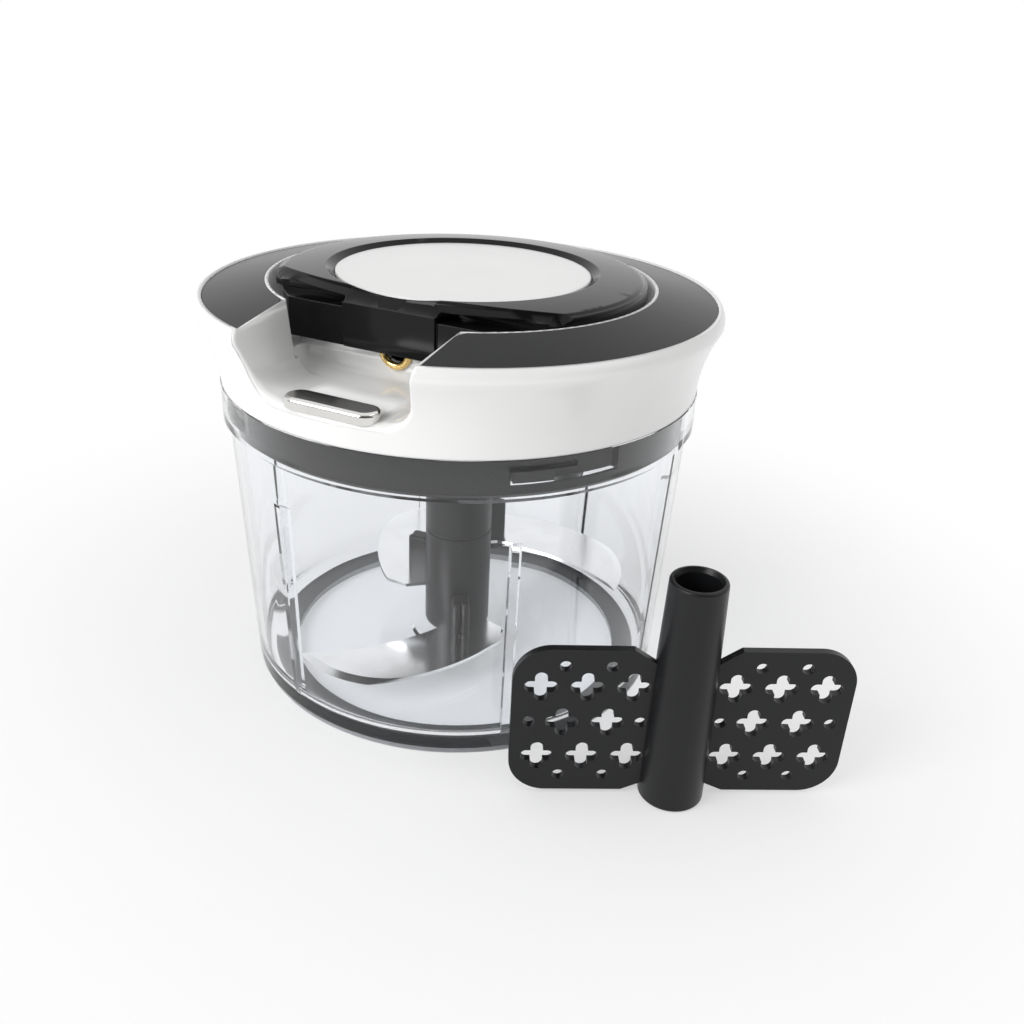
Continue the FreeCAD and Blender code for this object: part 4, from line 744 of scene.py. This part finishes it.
lead_mesh = grid_mesh("cord_run", tube_grid(cord_way(), CORD_RADIUS, CORD_SIDES))
lead_mesh.shade_smooth()
cord_run = link("cord_run", lead_mesh)
settle(cord_run, None, "cord_lead", cord_braid)
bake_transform(cord_run)

# %% [markdown]
# ## Light and background
# The photograph is a studio shot on white.  A product photographer hangs white paper behind and
# over the object and leaves the room behind the camera dark, which is why black plastic looks black
# from the front although everything round it is white.  Real sheets of paper could be modelled, but
# they would stand in the other views.  The world does the same: white to the camera, white at the
# back and dim at the front to reflections, and plain daylight, a little stronger from the left, to
# all the rest.

# %% Background
world = bpy.data.worlds.new("studio")
bpy.context.scene.world = world
world.use_nodes = True
DAYLIGHT, FROM_LEFT = 0.60, 0.35
DIM_FRONT, OVERHEAD, PAPER_EDGE = 0.10, 0.6, 0.35


class Surround(Finish):
    """The world's node tree, so that it can use the same arithmetic as a finish."""

    def __init__(self, scene_world):
        self.tree = scene_world.node_tree
        self.shader = self.tree.nodes["Background"]
        self.place = self.node("TexCoord", {}, {}, "Generated")

    def along(self, direction):
        """How far the direction looked in points along another one, from -1 to 1."""
        return self.node("VectorMath", {"operation": "DOT_PRODUCT"}, {
            0: self.place, 1: direction}, "Value")


surround = Surround(world)
backwards = surround.along(turned((0, 1, 0), AROUND))
upwards = surround.along((0, 0, 1))
rightwards = surround.along(turned((1, 0, 0), AROUND))
paper_white = (backwards + upwards * OVERHEAD).between(-PAPER_EDGE, PAPER_EDGE)
reflected = paper_white * (1 - DIM_FRONT) + DIM_FRONT
daylight = (1 - rightwards * FROM_LEFT) * DAYLIGHT
straight, glossy, through = (
    surround.node("LightPath", {}, {}, "Is %s Ray" % kind)
    for kind in ("Camera", "Glossy", "Transmission"))
mirrored = glossy.maths("MAXIMUM", through)
surround.feed(surround.shader, {
    "Color": shade(1, 1, 1),
    "Strength": (1 - straight) * (mirrored * reflected + (1 - mirrored) * daylight) + straight})
print("world, nodes:", len(world.node_tree.nodes))

# %% [markdown]
# ## The floor
# The chopper stands on white paper that keeps its soft shadow.  A curved backdrop could hide the
# paper's end, but it would shut in the views from behind.  The floor stays flat and fades into the
# white of the background along its own radius, far enough out that no shadow is cut.

# %% Floor
SIDE, SINK = 4.0, 0.0002
FADE_FROM, FADE_TO, LIT = 0.06, 0.30, 0.35
floor_mesh = bpy.data.meshes.new("floor")
floor_mesh.from_pydata(
    [(-SIDE, -SIDE, 0), (SIDE, -SIDE, 0), (SIDE, SIDE, 0), (-SIDE, SIDE, 0)], [], [(0, 1, 2, 3)])
floor = link("floor", floor_mesh)
floor.location.z = -SINK
paper = Finish("floor_paper")
paper.surface(Base_Color=shade(0.93), Roughness=0.8, Specular_IOR_Level=0.1)
radius = paper.node("VectorMath", {"operation": "LENGTH"}, {0: paper.place}, "Value")
glow = paper.node("Emission", {}, {"Color": shade(1), "Strength": 1.0})
paper.blended(radius.between(FADE_FROM, FADE_TO) * (1 - LIT) + LIT, glow)
floor_mesh.materials.append(paper.material)
print("floor", 2 * SIDE, "m wide, fades from", FADE_FROM, "m")

# %% [markdown]
# ## Lamps
# The photographer's softboxes are large, so shadows have no hard edge.  Daylight alone would light
# the lid the same all round.  One big softbox high on the left is the key: it puts the right of the
# lid and the inside of the scoop in gentle shade.  A weaker one on the right lifts that side.

# %% Lamps
KEY_PLACE, KEY_POWER = (-0.40, -0.90, 0.60), 6.8
FILL_PLACE, FILL_POWER = (0.70, 0.10, 0.80), 1.0
BOX_SIZE, AIM = 0.6, (0.03, 0, 0.07)


def lamp(name, place, power):
    """A square softbox at that place that faces the aim."""
    light = bpy.data.lights.new(name, "AREA")
    light.size = BOX_SIZE
    light.energy = power
    box = link(name, light)
    box.location = place
    box.rotation_euler = (Vector(AIM) - Vector(place)).to_track_quat("-Z", "Y").to_euler()


lamp("key_softbox", KEY_PLACE, KEY_POWER)
lamp("fill_softbox", FILL_PLACE, FILL_POWER)
print("lamps:", len(bpy.data.lights))
